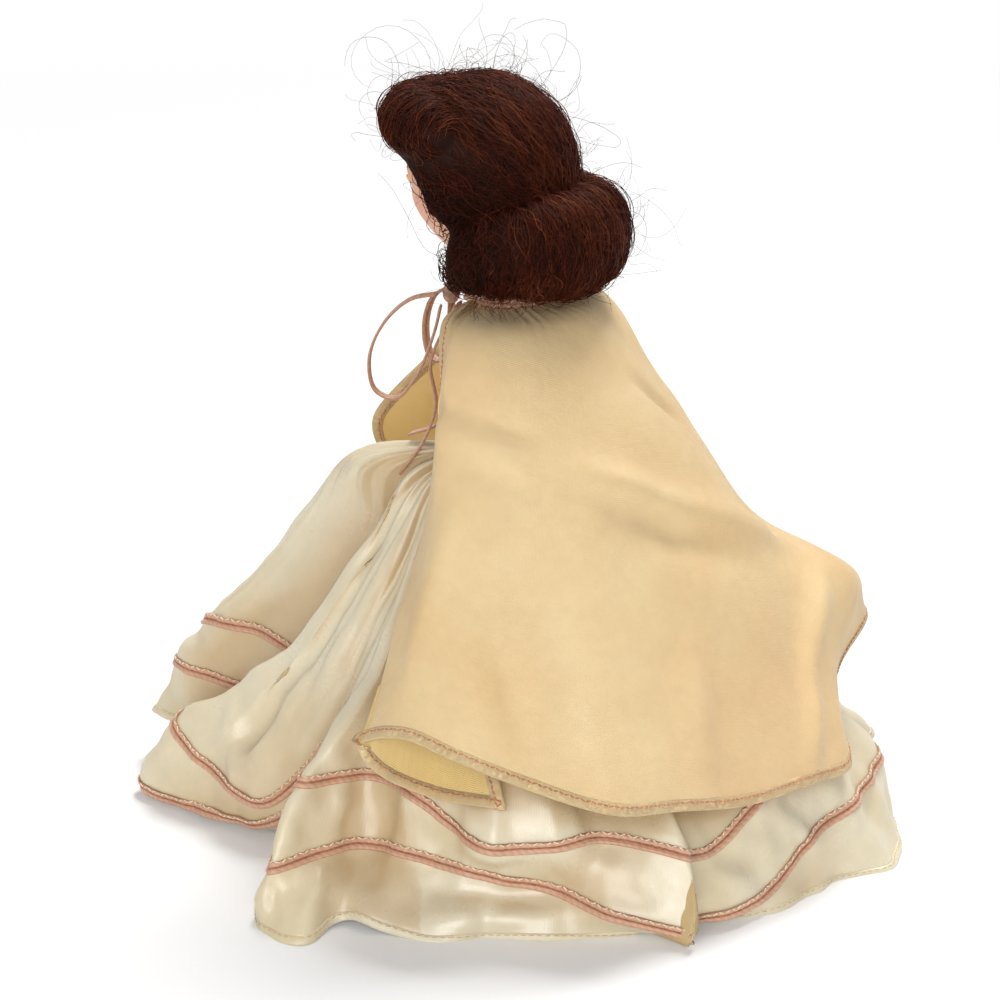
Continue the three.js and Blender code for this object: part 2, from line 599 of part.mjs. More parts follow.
function petticoat() {
  const heights = [petticoatTop, hipZ, PETTICOAT_LIFT];
  const outline = heights.map((z) => new THREE.Vector2(petticoatRadius(z), z));
  const back = heights.map((z) => new THREE.Vector2(petticoatRadius(z) - PETTICOAT_CLOTH, z)).reverse();
  const profile = [...outline, ...back, outline[0]].reverse();
  return new THREE.LatheGeometry(profile, 36).rotateX(Math.PI / 2);
}

// Each fold line of the skirt: [turn, out, rise] just under the waist, at the hip, at the knee, at the upper
// and the lower ribbon and at the hem. It stands out from the petticoat in fold depths, and rises in shares
// of the waist's height.
const skirtFolds = [
  [[6, 1.89, 0.95], [6, 2.32, 0.79], [6, 2.75, 0.59], // blown forward at the front
    [5.5, 3.39, 0.43], [5, 3.48, 0.29], [5, 3.42, 0.15]],
  [[14, 1.06, 0.95], [15, 1.28, 0.78], [15, 1.54, 0.58],
    [13, 1.72, 0.44], [11, 2.1, 0.27], [10, 2.7, 0.14]],
  [[24, 0.21, 0.94], [25, 0.13, 0.75], [23, 0.19, 0.53],
    [18.5, 0.84, 0.35], [16, 1, 0.21], [14.5, 1.1, 0.08]],
  [[40, 0.62, 0.96], [37, 0.75, 0.8], [31, 1.09, 0.49], // puffed out on the floor
    [22.5, 2.54, 0.22], [20, 2.66, 0.06], [19.5, 2.4, 0]],
  [[47, 0.48, 0.95], [44, 0.71, 0.77], [38, 0.96, 0.49],
    [30, 1.38, 0.14], [29, 1.47, 0.06], [29, 1.3, 0]],
  [[53, 0.33, 0.95], [52, 0.38, 0.77], [48, 0.39, 0.49],
    [44, 0.45, 0.13], [41, 0.39, 0.06], [41, 0.24, 0]],
  [[62, 0.23, 0.95], [60, 0.19, 0.76], [58, 0.19, 0.52],
    [57, 0.19, 0.31], [57, 0.25, 0.16], [57, 0, 0]],
  [[70, 0.33, 0.95], [70, 0.53, 0.75], [71, 0.66, 0.5], // left side
    [72, 1.67, 0.32], [74, 2, 0.14], [73, 1.6, 0]],
  [[76, 0.28, 0.95], [76, 0.28, 0.75], [77, 0.39, 0.52],
    [76.5, 0.87, 0.32], [78, 1.01, 0.16], [82, 1.6, 0]],
  [[82, 0.19, 0.95], [82, 0.16, 0.75], [82, 0.21, 0.53],
    [81, 0.4, 0.31], [82, 0.38, 0.16], [86, 0.65, 0]],
  [[92, 0.19, 0.95], [93, 0.16, 0.75], [93, 0.29, 0.52],
    [94, 0.43, 0.3], [93, 0.35, 0.16], [94, 0.53, 0]],
  [[103, 0.21, 0.95], [104, 0.18, 0.75], [104, 0.39, 0.52],
    [104, 0.54, 0.25], [104, 0.32, 0.15], [103, 0.56, 0]],
  [[114, 0.19, 0.95], [114, 0.18, 0.75], [114, 0.56, 0.51],
    [114, 1.1, 0.23], [114, 0.34, 0.12], [113, 0.28, 0]],
  [[125, 0.19, 0.95], [125, 0.21, 0.75], [125, 0.56, 0.51],
    [126, 1.03, 0.23], [126, 0.43, 0.11], [125, 0.32, 0]],
  [[136, 0.23, 0.95], [136, 0.28, 0.75], [136, 0.69, 0.52],
    [137, 0.95, 0.23], [137, 0.93, 0.07], [138, 0.8, 0]],
  [[148, 0.28, 0.95], [148, 0.48, 0.75], [149, 0.89, 0.51], // edge of the deep pleat
    [150, 1.9, 0.21], [148.5, 1.86, 0.06], [148, 1.68, 0]],
  [[151, 0.21, 0.95], [151.5, 0.33, 0.75], [152, 0.66, 0.51],
    [152.5, 1.5, 0.19], [152, 1.38, 0.06], [152, 1.2, 0]],
  [[157, 0.19, 0.95], [157, 0.33, 0.75], [157, 0.66, 0.51],
    [157, 1.53, 0.19], [158, 1.48, 0.06], [158.5, 1.3, 0]],
  [[168, 0.19, 0.95], [168, 0.33, 0.75], [169, 0.79, 0.52],
    [170, 1.78, 0.25], [170, 1.57, 0.06], [168, 1.4, 0]],
  [[181, 0.23, 0.95], [181, 0.43, 0.75], [181, 0.99, 0.52], // back
    [181, 1.87, 0.29], [181, 1.89, 0.13], [181.5, 1.8, 0]],
  [[190, 0.38, 0.95], [190, 0.78, 0.75], [190, 1.44, 0.52],
    [190, 2.27, 0.32], [191, 2.57, 0.16], [191, 2.85, 0]],
  [[200, 0.33, 0.95], [200, 0.73, 0.75], [200, 1.41, 0.53],
    [200, 2.27, 0.33], [201, 2.77, 0.17], [200, 2.9, 0]],
  [[209, 0.28, 0.95], [209, 0.68, 0.75], [209, 1.34, 0.53],
    [209, 2.27, 0.33], [210, 2.83, 0.18], [209, 2.55, 0]],
  [[222, 0.21, 0.95], [222, 0.33, 0.75], [222, 0.64, 0.52],
    [222, 0.94, 0.31], [221, 1.02, 0.16], [220, 1, 0]],
  [[236, 0.38, 0.95], [236, 0.88, 0.77], [235, 1.69, 0.55], // lifted corner
    [233, 2.44, 0.35], [231, 2.9, 0.21], [230, 3.35, 0.08]],
  [[254, 0.19, 0.95], [254, 0.23, 0.75], [254, 0.29, 0.52],
    [254, 0.29, 0.31], [254, 0.3, 0.16], [254, 0.3, 0]],
  [[274, 0.23, 0.95], [274, 0.43, 0.75], [274, 1.01, 0.53], // right side
    [274, 1.39, 0.32], [274, 1.6, 0.17], [274, 1.7, 0]],
  [[296, 0.19, 0.95], [296, 0.23, 0.75], [296, 0.29, 0.52],
    [296, 0.29, 0.31], [296, 0.3, 0.16], [296, 0.3, 0]],
  [[320, 0.28, 0.95], [320, 0.63, 0.75], [320, 1.11, 0.53],
    [320, 1.54, 0.32], [320, 1.75, 0.17], [320, 1.85, 0]],
  [[343, 0.19, 0.95], [343, 0.23, 0.75], [343, 0.34, 0.53],
    [343, 0.54, 0.35], [343, 0.57, 0.2], [343, 0.65, 0.06]],
];
const skirtLevels = skirtFolds[0].length;
const upperLevel = skirtLevels - 2;
const lowerLevel = skirtLevels - 1;
const skirtWaist = WAIST_HALF + GAP + CLOTH + GAP + CLOTH;
const columnsPerFold = 2;

function skirtLine(places) {
  const points = places.map(([turn, out, rise]) => {
    const z = rise * waistZ;
    return polar(turn, petticoatRadius(z) + out * FOLD_DEPTH, z);
  });
  const start = polar(places[0][0], skirtWaist, waistZ);
  return new THREE.CatmullRomCurve3([start, ...points], false, 'centripetal');
}

// Rows of the skirt are cut where the ribbons' edges run
const ribbonHalf = (RIBBON_WIDTH * 0.4) / RIBBON_SPACING;
const ribbonRows = (level) => [(level - ribbonHalf) / skirtLevels, (level + ribbonHalf) / skirtLevels];
const upperRows = ribbonRows(upperLevel);
const lowerRows = ribbonRows(lowerLevel);
const kneeRow = (upperLevel - 1) / skirtLevels;

function skirtGrid(shares) {
  const lines = skirtFolds.map(skirtLine);
  const columns = skirtFolds.length * columnsPerFold;
  return shares.map((share) => {
    const row = new THREE.CatmullRomCurve3(lines.map((line) => line.getPoint(share)), true, 'centripetal');
    const points = Array.from({ length: columns }, (_, j) => row.getPoint(j / columns));
    return points.map((p) => p.setZ(Math.max(p.z, 0)));
  });
}

function skirt() {
  const upperBody = [0, 0.1, 0.2, 0.33];
  return clothSolid(skirtGrid([...upperBody, kneeRow, ...upperRows, ...lowerRows, 1]), CLOTH, true, true);
}

// A ribbon sewn flat on the skirt, following its folds
function skirtRibbon(rows) {
  const onCloth = skirtGrid([kneeRow, ...rows, 1]);
  const outer = movedGrid(onCloth, -(GAP + RIBBON_THICK), true);
  const inner = movedGrid(onCloth, -GAP, true);
  return layeredSolid(outer.slice(1, 3), inner.slice(1, 3), true);
}

// Collar: the ribbon drawn round the neck, thicker where it is tied
const collarInside = NECK_RADIUS + 2 * GAP;

function collarRadius(degrees) {
  const towardsKnot = Math.max(Math.cos(THREE.MathUtils.degToRad(degrees - KNOT_TURN)), 0);
  return collarInside + COLLAR_THICK + COLLAR_THICK * towardsKnot ** 20;
}

// Cape: lines from the neck to the hem. Each has its turn at the neck, then a turn, a flare and a drop on the
// shoulder, under the arm, at the hip and at the hem. Flares above the hip are measured out from the arms,
// those below it out from the petticoat, and drops down from the top of the arms.
const armOutside = armInside + 2 * ARM_RADIUS;
const capeLines = [
  [47, [75, 0.032, -0.0325], [86, 0.26, 0.2], [97, 0.56, 0.55], [117, 0.504, 0.9875]], // turned under
  [53, [80.5, 0.08, -0.0325], [83, 0.36, 0.1875], [84, 0.772, 0.5], [86, 0.816, 0.855]], // left front fold
  [66, [88, 0.056, -0.0238], [93, 0.48, 0.2], [95, 0.98, 0.5125], [97, 0.992, 0.8037]],
  [86, [104, 0.08, -0.02], [106, 0.48, 0.2], [108, 1.04, 0.525], [108, 1.012, 0.835]],
  [110, [122, -0.04, -0.0163], [122, 0.48, 0.2125], [122, 0.98, 0.55], [121, 0.816, 0.91]],
  [135, [138, -0.12, -0.0175], [137, 0.48, 0.2125], [136, 1.04, 0.55], [135, 1.04, 0.9475]],
  [155, [153, -0.16, -0.0212], [151, 0.46, 0.2125], [150, 1.04, 0.55], [149, 0.92, 0.9812]],
  [172, [170, -0.18, -0.0263], [167, 0.44, 0.2125], [165, 1.04, 0.5375], [163, 0.896, 1.0162]],
  [188, [187, -0.18, -0.0287], [184, 0.44, 0.2125], [182, 1.12, 0.525], [179, 1, 1.0288]], // back
  [200, [199, -0.168, -0.03], [198, 0.448, 0.2125], [196, 1.2, 0.5188], [190, 1.128, 1.0413]],
  [212, [211, -0.14, -0.03], [209, 0.464, 0.2062], [206, 1.22, 0.5188], [200, 1.16, 0.9625]],
  [222, [221, -0.12, -0.0287], [218, 0.48, 0.2], [213, 1.36, 0.5125], [212, 1.536, 0.7875]], // lifted fold
  [232, [230, -0.06, -0.0263], [226, 0.48, 0.2], [221, 1.38, 0.5125], [220, 1.72, 0.75]],
  [245, [243, 0, -0.025], [240, 0.48, 0.2], [236, 1.12, 0.55], [234, 1.16, 0.925]],
  [260, [260, 0.08, -0.0238], [257, 0.48, 0.2], [255, 1, 0.55], [254, 0.936, 0.975]],
  [285, [278, 0.14, -0.0238], [277, 0.5, 0.1875], [277, 1, 0.5375], [276, 1.024, 0.925]], // right side
  [305, [292, 0.24, -0.0263], [300, 0.6, 0.1875], [303, 1.12, 0.5125], [300, 1.2, 0.825]],
  [325, [300, 0.3, -0.0287], [317, 0.8, 0.2], [327, 1.46, 0.45], [320, 1.44, 0.675]], // right front edge
];
const capeNeckZ = collarZ + 2 * GAP;
const capeRows = 11;
const columnsPerLine = 2;

function capeLine([neck, ...points]) {
  const down = points.map(([turn, flare, drop]) => {
    const z = armTop - drop * CAPE_LENGTH;
    const base = z > hipZ ? armOutside : petticoatRadius(z);
    return polar(turn, base + flare * CAPE_FLARE, z);
  });
  const start = polar(neck, collarRadius(neck) + GAP, capeNeckZ);
  return new THREE.CatmullRomCurve3([start, ...down], false, 'centripetal');
}

function cape() {
  const lines = capeLines.map(capeLine);
  const columns = (capeLines.length - 1) * columnsPerLine;
  const grid = Array.from({ length: capeRows }, (_, i) => {
    const across = lines.map((line) => line.getPoint(i / (capeRows - 1)));
    const row = new THREE.CatmullRomCurve3(across, false, 'centripetal');
    return Array.from({ length: columns + 1 }, (_unused, j) => row.getPoint(j / columns));
  });
  return clothSolid(grid, CLOTH, false);
}

// Ribbon tie: tied in a bow at the front
const knotRadius = collarRadius(KNOT_TURN) + GAP + KNOT_SIZE;
const knotZ = collarZ + COLLAR_HEIGHT / 2;

function collarRibbon() {
  const columns = 30;
  const rows = [collarZ + COLLAR_HEIGHT, collarZ];
  const grid = rows.map((z) => Array.from({ length: columns }, (_, j) => {
    const degrees = (360 * j) / columns;
    return polar(degrees, collarRadius(degrees), z);
  }));
  return clothSolid(grid, COLLAR_THICK, true);
}

function bowKnot() {
  const centre = polar(KNOT_TURN, knotRadius, knotZ).toArray();
  return geometryOf(ellipsoid(centre, KNOT_SIZE, KNOT_SIZE, KNOT_SIZE, 12, 8));
}

// A flat ribbon in the upright plane at a turn, through places out from the knot and down from it
function looseRibbon(turn, offsets, steps) {
  const points = offsets.map(([out, drop]) => polar(turn, knotRadius + out, knotZ - drop));
  const path = new THREE.CatmullRomCurve3(points, false, 'centripetal');
  const across = polar(turn + 90, RIBBON_WIDTH / 2, 0);
  const grid = path.getSpacedPoints(steps).map((p) => [p.clone().sub(across), p.clone().add(across)]);
  return clothSolid(grid, RIBBON_THICK, false);
}

const knotEdge = KNOT_SIZE + GAP + RIBBON_THICK;
const leftLoop = [
  [knotEdge, 0.2], [knotEdge + 5, 1.4], [knotEdge + 10, 6], [knotEdge + 13, 13], [knotEdge + 12, 19.5],
  [knotEdge + 8, 21], [knotEdge + 4, 16.5], [knotEdge + 0.6, 8], [knotEdge - 0.7, 2.6],
];
const rightLoop = [
  [knotEdge, 0.4], [knotEdge + 3.4, 3], [knotEdge + 5.2, 9], [knotEdge + 4, 14.6], [knotEdge + 1.6, 15.4],
  [knotEdge - 0.2, 10], [knotEdge - 0.8, 2.8],
];
const leftTail = [[-0.8, knotEdge - 0.2], [1.4, 7], [4, 14], [3, 22], [5.2, 29], [10, 36]];
const rightTail = [[-0.9, knotEdge - 0.2], [0.4, 7], [2.4, 15], [1.6, 21.5], [3.4, 27], [9.6, 30]];

// Everything together
function buildTrunk() {
  const [front, back] = halves(trunkShell());
  addPiece('torso_front', 'plastic', front);
  addPiece('torso_back', 'plastic', back);
}

function buildHead() {
  const [face, back] = halves(headShell());
  addPiece('head_face', 'face', face);
  addPiece('head_back', 'plastic', back);
  addPiece('eye_left', 'eye', eyeball(1));
  addPiece('eye_right', 'eye', eyeball(-1));
  addPiece('eye_rocker', 'lead', eyeRocker());
  addPiece('wig_cap', 'cap', wigCap());
  addPiece('wig_hair', 'hair', wigHair());
}

function buildLimbs() {
  for (const [name, side] of [['left', 1], ['right', -1]]) {
    addPiece(`arm_${name}`, 'plastic', arm(side));
    addPiece(`leg_${name}`, 'plastic', leg(side));
    const armShank = armInside + SHANK_DEPTH;
    addPiece(`arm_hook_${name}`, 'wire', limbHook(side, shoulderZ, armEyeX, ARM_EYE, WIRE, armShank));
    const legShank = legInside + SHANK_DEPTH;
    addPiece(`leg_hook_${name}`, 'wire', limbHook(side, hipZ, legEyeX, LEG_EYE, LEG_WIRE, legShank));
  }
}

function buildStringing() {
  addPiece('head_hook', 'wire', headHook());
  addPiece('shoulder_band', 'rubber', limbBand(shoulderZ, armEyeX, ARM_EYE, WIRE, RUBBER));
  addPiece('hip_band', 'rubber', limbBand(hipZ, legEyeX, LEG_EYE, LEG_WIRE, HIP_RUBBER));
  addPiece('neck_band', 'rubber', neckBand());
}

function buildClothes() {
  addPiece('bodice', 'satin', bodice());
  addPiece('petticoat', 'cotton', petticoat());
  addPiece('skirt', 'satin', skirt());
  addPiece('skirt_ribbon_upper', 'ribbon', skirtRibbon(upperRows));
  addPiece('skirt_ribbon_lower', 'ribbon', skirtRibbon(lowerRows));
  addPiece('cape', 'taffeta', cape());
}

function buildBow() {
  addPiece('collar_ribbon', 'ribbon', collarRibbon());
  addPiece('bow_knot', 'ribbon', bowKnot());
  addPiece('bow_loop_left', 'ribbon', looseRibbon(LOOP_TURNS[0], leftLoop, 30));
  addPiece('bow_loop_right', 'ribbon', looseRibbon(LOOP_TURNS[1], rightLoop, 24));
  addPiece('bow_tail_left', 'ribbon', looseRibbon(TAIL_TURNS[0], leftTail, 20));
  addPiece('bow_tail_right', 'ribbon', looseRibbon(TAIL_TURNS[1], rightTail, 18));
}

buildTrunk();
buildHead();
buildLimbs();
buildStringing();
buildClothes();
buildBow();

export default doll;
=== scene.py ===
import json
import math

import bpy
import numpy as np
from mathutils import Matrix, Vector, noise
from mathutils.bvhtree import BVHTree

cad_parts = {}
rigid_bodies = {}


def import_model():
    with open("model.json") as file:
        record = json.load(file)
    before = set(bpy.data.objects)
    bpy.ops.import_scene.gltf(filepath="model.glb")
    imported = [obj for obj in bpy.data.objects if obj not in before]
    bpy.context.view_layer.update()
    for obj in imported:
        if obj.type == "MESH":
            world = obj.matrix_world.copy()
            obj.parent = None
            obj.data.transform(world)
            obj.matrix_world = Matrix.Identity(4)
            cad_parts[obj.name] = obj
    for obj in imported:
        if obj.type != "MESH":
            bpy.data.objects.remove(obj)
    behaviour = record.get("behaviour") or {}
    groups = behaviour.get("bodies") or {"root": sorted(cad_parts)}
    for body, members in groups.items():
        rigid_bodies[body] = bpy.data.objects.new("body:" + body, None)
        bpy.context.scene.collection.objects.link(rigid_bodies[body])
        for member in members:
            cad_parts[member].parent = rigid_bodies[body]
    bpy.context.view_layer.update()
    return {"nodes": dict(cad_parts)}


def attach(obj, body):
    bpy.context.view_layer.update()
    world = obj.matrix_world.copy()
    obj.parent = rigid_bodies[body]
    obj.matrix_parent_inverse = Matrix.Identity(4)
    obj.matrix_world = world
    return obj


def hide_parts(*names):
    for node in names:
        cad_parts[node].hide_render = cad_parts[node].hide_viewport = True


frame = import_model()
mm = 0.001
print("frame: ", len(frame["nodes"]), "CAD nodes")


# camera at the photo's angle, from behind the doll's left shoulder
view = dict(turn=118, rise=19, distance=620, lens=116.06, target=(0, 0, 67), axisRight=1.92)


def polar(turn, radius, z):
    angle = np.radians(turn)
    radius = np.asarray(radius, float)
    return np.stack(np.broadcast_arrays(radius * np.sin(angle), -radius * np.cos(angle), z), axis=-1)


def placeCamera():
    turn, rise = math.radians(view["turn"]), math.radians(view["rise"])
    back = Vector((math.sin(turn) * math.cos(rise), -math.cos(turn) * math.cos(rise), math.sin(rise)))
    side = Vector((math.cos(turn), math.sin(turn), 0))
    aim = Vector(view["target"]) - side * view["axisRight"]
    data = bpy.data.cameras.new("photoCamera")
    data.lens = view["lens"]
    data.clip_start = 0.01
    camera = bpy.data.objects.new("photoCamera", data)
    camera.location = (aim + back * view["distance"]) * mm
    camera.rotation_euler = (-back).to_track_quat("-Z", "Y").to_euler()
    bpy.context.scene.collection.objects.link(camera)
    bpy.context.scene.camera = camera


placeCamera()
bpy.context.scene.view_settings.view_transform = "Standard"
print("camera: placed")


# shader maths written as sums
class Wire:
    def __init__(self, tree, socket=None):
        self.tree = tree
        self.socket = socket

    def add(self, kind, settings=None, inputs=None, output=0):
        node = self.tree.nodes.new(kind)
        for key, value in (settings or {}).items():
            if key == "stops":
                ramp = node.color_ramp
                ramp.elements.remove(ramp.elements[1])
                ramp.elements[0].position = value[0][0]
                ramp.elements[0].color = value[0][1]
                for place, colour in value[1:]:
                    ramp.elements.new(place).color = colour
            else:
                setattr(node, key, value)
        plugIn(self.tree, node, inputs or {})
        return Wire(self.tree, node.outputs[output])

    def maths(self, operation, other=0.0):
        return self.add("ShaderNodeMath", dict(operation=operation), {0: self, 1: other})

    def __add__(self, other):
        return self.maths("ADD", other)

    def __mul__(self, other):
        return self.maths("MULTIPLY", other)

    def __sub__(self, other):
        return self.maths("SUBTRACT", other)

    def __rsub__(self, other):
        return self.add("ShaderNodeMath", dict(operation="SUBTRACT"), {0: other, 1: self})

    def __truediv__(self, other):
        return self.maths("DIVIDE", other)

    def __pow__(self, other):
        return self.maths("POWER", other)

    __radd__ = __add__
    __rmul__ = __mul__


def plugIn(tree, node, inputs):
    for key, value in inputs.items():
        if isinstance(value, Wire):
            tree.links.new(value.socket, node.inputs[key])
        else:
            node.inputs[key].default_value = value


def tint(red, green, blue):
    # colours are picked as screen values from 0 to 255
    shares = [value / 255 for value in (red, green, blue)]
    return tuple(s / 12.92 if s <= 0.04045 else ((s + 0.055) / 1.055) ** 2.4 for s in shares) + (1.0,)


def newFinish(name):
    material = bpy.data.materials.new(name)
    material.use_nodes = True
    return material, material.node_tree.nodes["Principled BSDF"], Wire(material.node_tree)


def blended(share, first, second):
    return share.add("ShaderNodeMix", dict(data_type="RGBA"), {0: share, 6: first, 7: second}, output=2)


def grain(start, where, scale, detail=3.0, rough=0.55):
    sockets = {"Vector": where, "Scale": scale, "Detail": detail, "Roughness": rough}
    return start.add("ShaderNodeTexNoise", {}, sockets)


def spread(wire, low, high):
    # the same pattern with its contrast pulled out
    return wire.add("ShaderNodeMapRange", dict(clamp=True), {0: wire, 1: low, 2: high})


def parts(wire):
    node = wire.add("ShaderNodeSeparateXYZ", {}, {0: wire}).socket.node
    return [Wire(wire.tree, output) for output in node.outputs]


def bumped(height, distance, strength=1.0, under=None):
    sockets = {"Strength": strength, "Distance": distance, "Height": height}
    if under is not None:
        sockets["Normal"] = under
    return height.add("ShaderNodeBump", {}, sockets)


def objectPlace(start):
    return start.add("ShaderNodeTexCoord", {}, {}, output="Object")


def surfacePlace(start):
    return start.add("ShaderNodeTexCoord", {}, {}, output="UV")


def clothFinish(name, colours, rough, sheen, thread, lift, slant=0.0, soft=0.0, gloss=0.4, foldShadeColour=None):
    # woven cloth: threads on the cloth's own measure, faint mottling and small crumples, and painted shade in the
    # folds when a fold shade colour is given
    pale, deep, stain = [tint(*colour) for colour in colours]
    material, shader, start = newFinish(name)
    where = objectPlace(start)
    along, down, _ = parts(surfacePlace(start))
    turn = 2 * math.pi / thread
    weft = (along * turn + down * (turn * slant)).maths("SINE")
    warp = (down * turn - along * (turn * 0.25 * slant)).maths("SINE")
    weave = weft * 0.6 + warp * 0.4
    mottle = spread(grain(start, where, 42.0, 4.0), 0.32, 0.68)
    blotch = spread(grain(start, where, 21.0, 2.0), 0.5, 0.78)
    slub = spread(grain(start, where, 420.0, 2.0), 0.25, 0.75)
    base = blended(mottle, pale, deep)
    base = blended(blotch * 0.5, base, stain)
    # painted shade: the colour turns towards a deep golden tone where folds keep the light out
    if foldShadeColour:
        hidden = start.add("ShaderNodeAttribute", dict(attribute_name="hidden"), {}, output="Fac")
        base = blended(spread(hidden, 0.15, 0.65) * 0.5, base, tint(*foldShadeColour))
    woven = 1.1 - gloss
    shade = blended(slub * 0.05 + weave * (0.04 * woven) + 0.03, base, tint(70, 50, 30))
    crumple = grain(start, where, 150.0, 3.0, 0.5)
    normal = bumped(crumple, lift)
    normal = bumped(weave + slub * 0.6, thread * 0.12 * woven, 0.8, normal)
    rougher = mottle * 0.1 + slub * 0.08 + rough
    plugIn(material.node_tree, shader, {
        "Base Color": shade, "Roughness": rougher, "Normal": normal, "Sheen Weight": sheen,
        "Sheen Roughness": 0.4, "Specular IOR Level": gloss,
    })
    if soft > 0:
        glow = start.add("ShaderNodeBsdfTranslucent", {}, {"Color": base, "Normal": normal})
        top = Wire(material.node_tree, shader.outputs[0])
        mix = start.add("ShaderNodeMixShader", {}, {0: soft, 1: top, 2: glow})
        output = material.node_tree.nodes["Material Output"]
        material.node_tree.links.new(mix.socket, output.inputs["Surface"])
    return material


satin = clothFinish("satin", [(238, 228, 200), (231, 217, 183), (228, 208, 164)], rough=0.22, sheen=0.1,
                    thread=0.00034, lift=0.00012, soft=0.1, gloss=0.9, foldShadeColour=(190, 146, 76))
# the satin's inside: its duller back is real, its darker and yellower colour is painted shade inside the skirt and
# bodice
satinInsideShaded = clothFinish("satinInsideShaded", [(222, 198, 150), (205, 178, 126), (214, 182, 122)], rough=0.5, sheen=0.05,
                          thread=0.00034, lift=0.0003, soft=0.12)
taffeta = clothFinish("taffeta", [(246, 220, 170), (240, 208, 154), (240, 200, 152)], rough=0.46, sheen=0.15,
                      thread=0.00036, lift=0.00035, slant=1.0, soft=0.16, foldShadeColour=(226, 178, 112))
# painted shade: the cape's inside is the same taffeta coloured deeper and more orange, as the shade inside the cape
taffetaShadedInside = clothFinish("taffetaShadedInside", [(240, 214, 148), (234, 202, 130), (232, 184, 112)], rough=0.55,
                            sheen=0.05, thread=0.00036, lift=0.0003, slant=1.0, soft=0.2)
cotton = clothFinish("cotton", [(233, 226, 210), (222, 213, 194), (224, 212, 186)], rough=0.7, sheen=0.1,
                     thread=0.0005, lift=0.0003)


def ribbonFinish():
    # corded edges paler than the sewn middle, fine threads along the length
    material, shader, start = newFinish("ribbonBraid")
    where = objectPlace(start)
    along, across, _ = parts(surfacePlace(start))
    fromMiddle = (across - 0.5).maths("ABSOLUTE") * 2
    edge = spread(fromMiddle, 0.06, 0.3)
    rim = spread(fromMiddle, 0.84, 1.0)
    twist = (along * 4200.0 + across * 9.0).maths("SINE")
    cords = (across * 34.0).maths("SINE")
    worn = spread(grain(start, where, 260.0, 3.0), 0.3, 0.7)
    base = blended(edge, tint(150, 92, 60), tint(204, 156, 126))
    base = blended(worn * 0.3, base, tint(228, 194, 164))
    base = blended(rim * 0.6, base, tint(146, 94, 66))
    base = blended(twist * 0.1 + 0.1, base, tint(138, 86, 60))
    normal = bumped(twist * 0.7 + cords * 0.3, 0.00004, 0.9)
    plugIn(material.node_tree, shader, {
        "Base Color": base, "Roughness": worn * 0.15 + 0.38, "Normal": normal, "Sheen Weight": 0.15,
    })
    return material


def threadFinish(name, pale, deep):
    material, shader, start = newFinish(name)
    where = objectPlace(start)
    worn = spread(grain(start, where, 700.0, 2.0), 0.3, 0.7)
    ply = grain(start, where, 5200.0, 2.0)
    plugIn(material.node_tree, shader, {
        "Base Color": blended(worn, pale, deep), "Roughness": worn * 0.2 + 0.5, "Sheen Weight": 0.2,
        "Normal": bumped(ply, 0.00003, 0.8),
    })
    return material


ribbonBraid = ribbonFinish()
ribbonThread = threadFinish("ribbonThread", tint(190, 122, 88), tint(146, 84, 58))
capeThread = threadFinish("capeThread", tint(206, 138, 88), tint(172, 104, 62))
tackThread = threadFinish("tackThread", tint(240, 226, 196), tint(220, 198, 160))
hemThread = threadFinish("hemThread", tint(222, 196, 140), tint(196, 166, 112))


def plainFinish(name, pale, deep, rough, metal, scale, lift):
    material, shader, start = newFinish(name)
    where = objectPlace(start)
    mottle = spread(grain(start, where, scale, 4.0), 0.3, 0.7)
    fine = grain(start, where, scale * 9, 2.0)
    plugIn(material.node_tree, shader, {
        "Base Color": blended(mottle, pale, deep), "Roughness": mottle * 0.14 + rough, "Metallic": metal,
        "Normal": bumped(fine, lift, 0.5),
    })
    return material


hookWire = plainFinish("hookWire", tint(168, 162, 150), tint(120, 104, 84), rough=0.3, metal=0.9, scale=900.0,
                       lift=0.00003)
bandRubber = plainFinish("bandRubber", tint(112, 92, 72), tint(82, 66, 52), rough=0.75, metal=0.0, scale=700.0,
                         lift=0.00005)
leadWeight = plainFinish("leadWeight", tint(126, 126, 130), tint(96, 96, 100), rough=0.5, metal=0.7, scale=600.0,
                         lift=0.00006)
capGauze = plainFinish("capGauze", tint(104, 82, 66), tint(78, 58, 46), rough=0.9, metal=0.0, scale=1500.0,
                       lift=0.0001)
for finish, nodes in (
    (hookWire, ("head_hook", "arm_hook_left", "arm_hook_right", "leg_hook_left", "leg_hook_right")),
    (bandRubber, ("shoulder_band", "hip_band", "neck_band")),
    (leadWeight, ("eye_rocker",)),
):
    for node in nodes:
        frame["nodes"][node].data.materials[0] = finish
print("finishes: cloth, ribbon, thread and fittings")


# mesh helpers, in millimetres
def meshObject(name, points, faces, uvs=None):
    mesh = bpy.data.meshes.new(name)
    mesh.from_pydata((points.reshape(-1, 3) * mm).tolist(), [], list(faces))
    if uvs is not None:
        layer = mesh.uv_layers.new(name="surface")
        layer.data.foreach_set("uv", np.asarray(uvs, np.float32).reshape(-1))
    mesh.polygons.foreach_set("use_smooth", np.full(len(mesh.polygons), True))
    mesh.update()
    piece = bpy.data.objects.new(name, mesh)
    bpy.context.scene.collection.objects.link(piece)
    return piece


def dress(piece, body, finishes, nodes=()):
    piece.data.materials.clear()
    for finish in finishes:
        piece.data.materials.append(finish)
    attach(piece, body)
    if nodes:
        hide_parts(*nodes)
    return piece


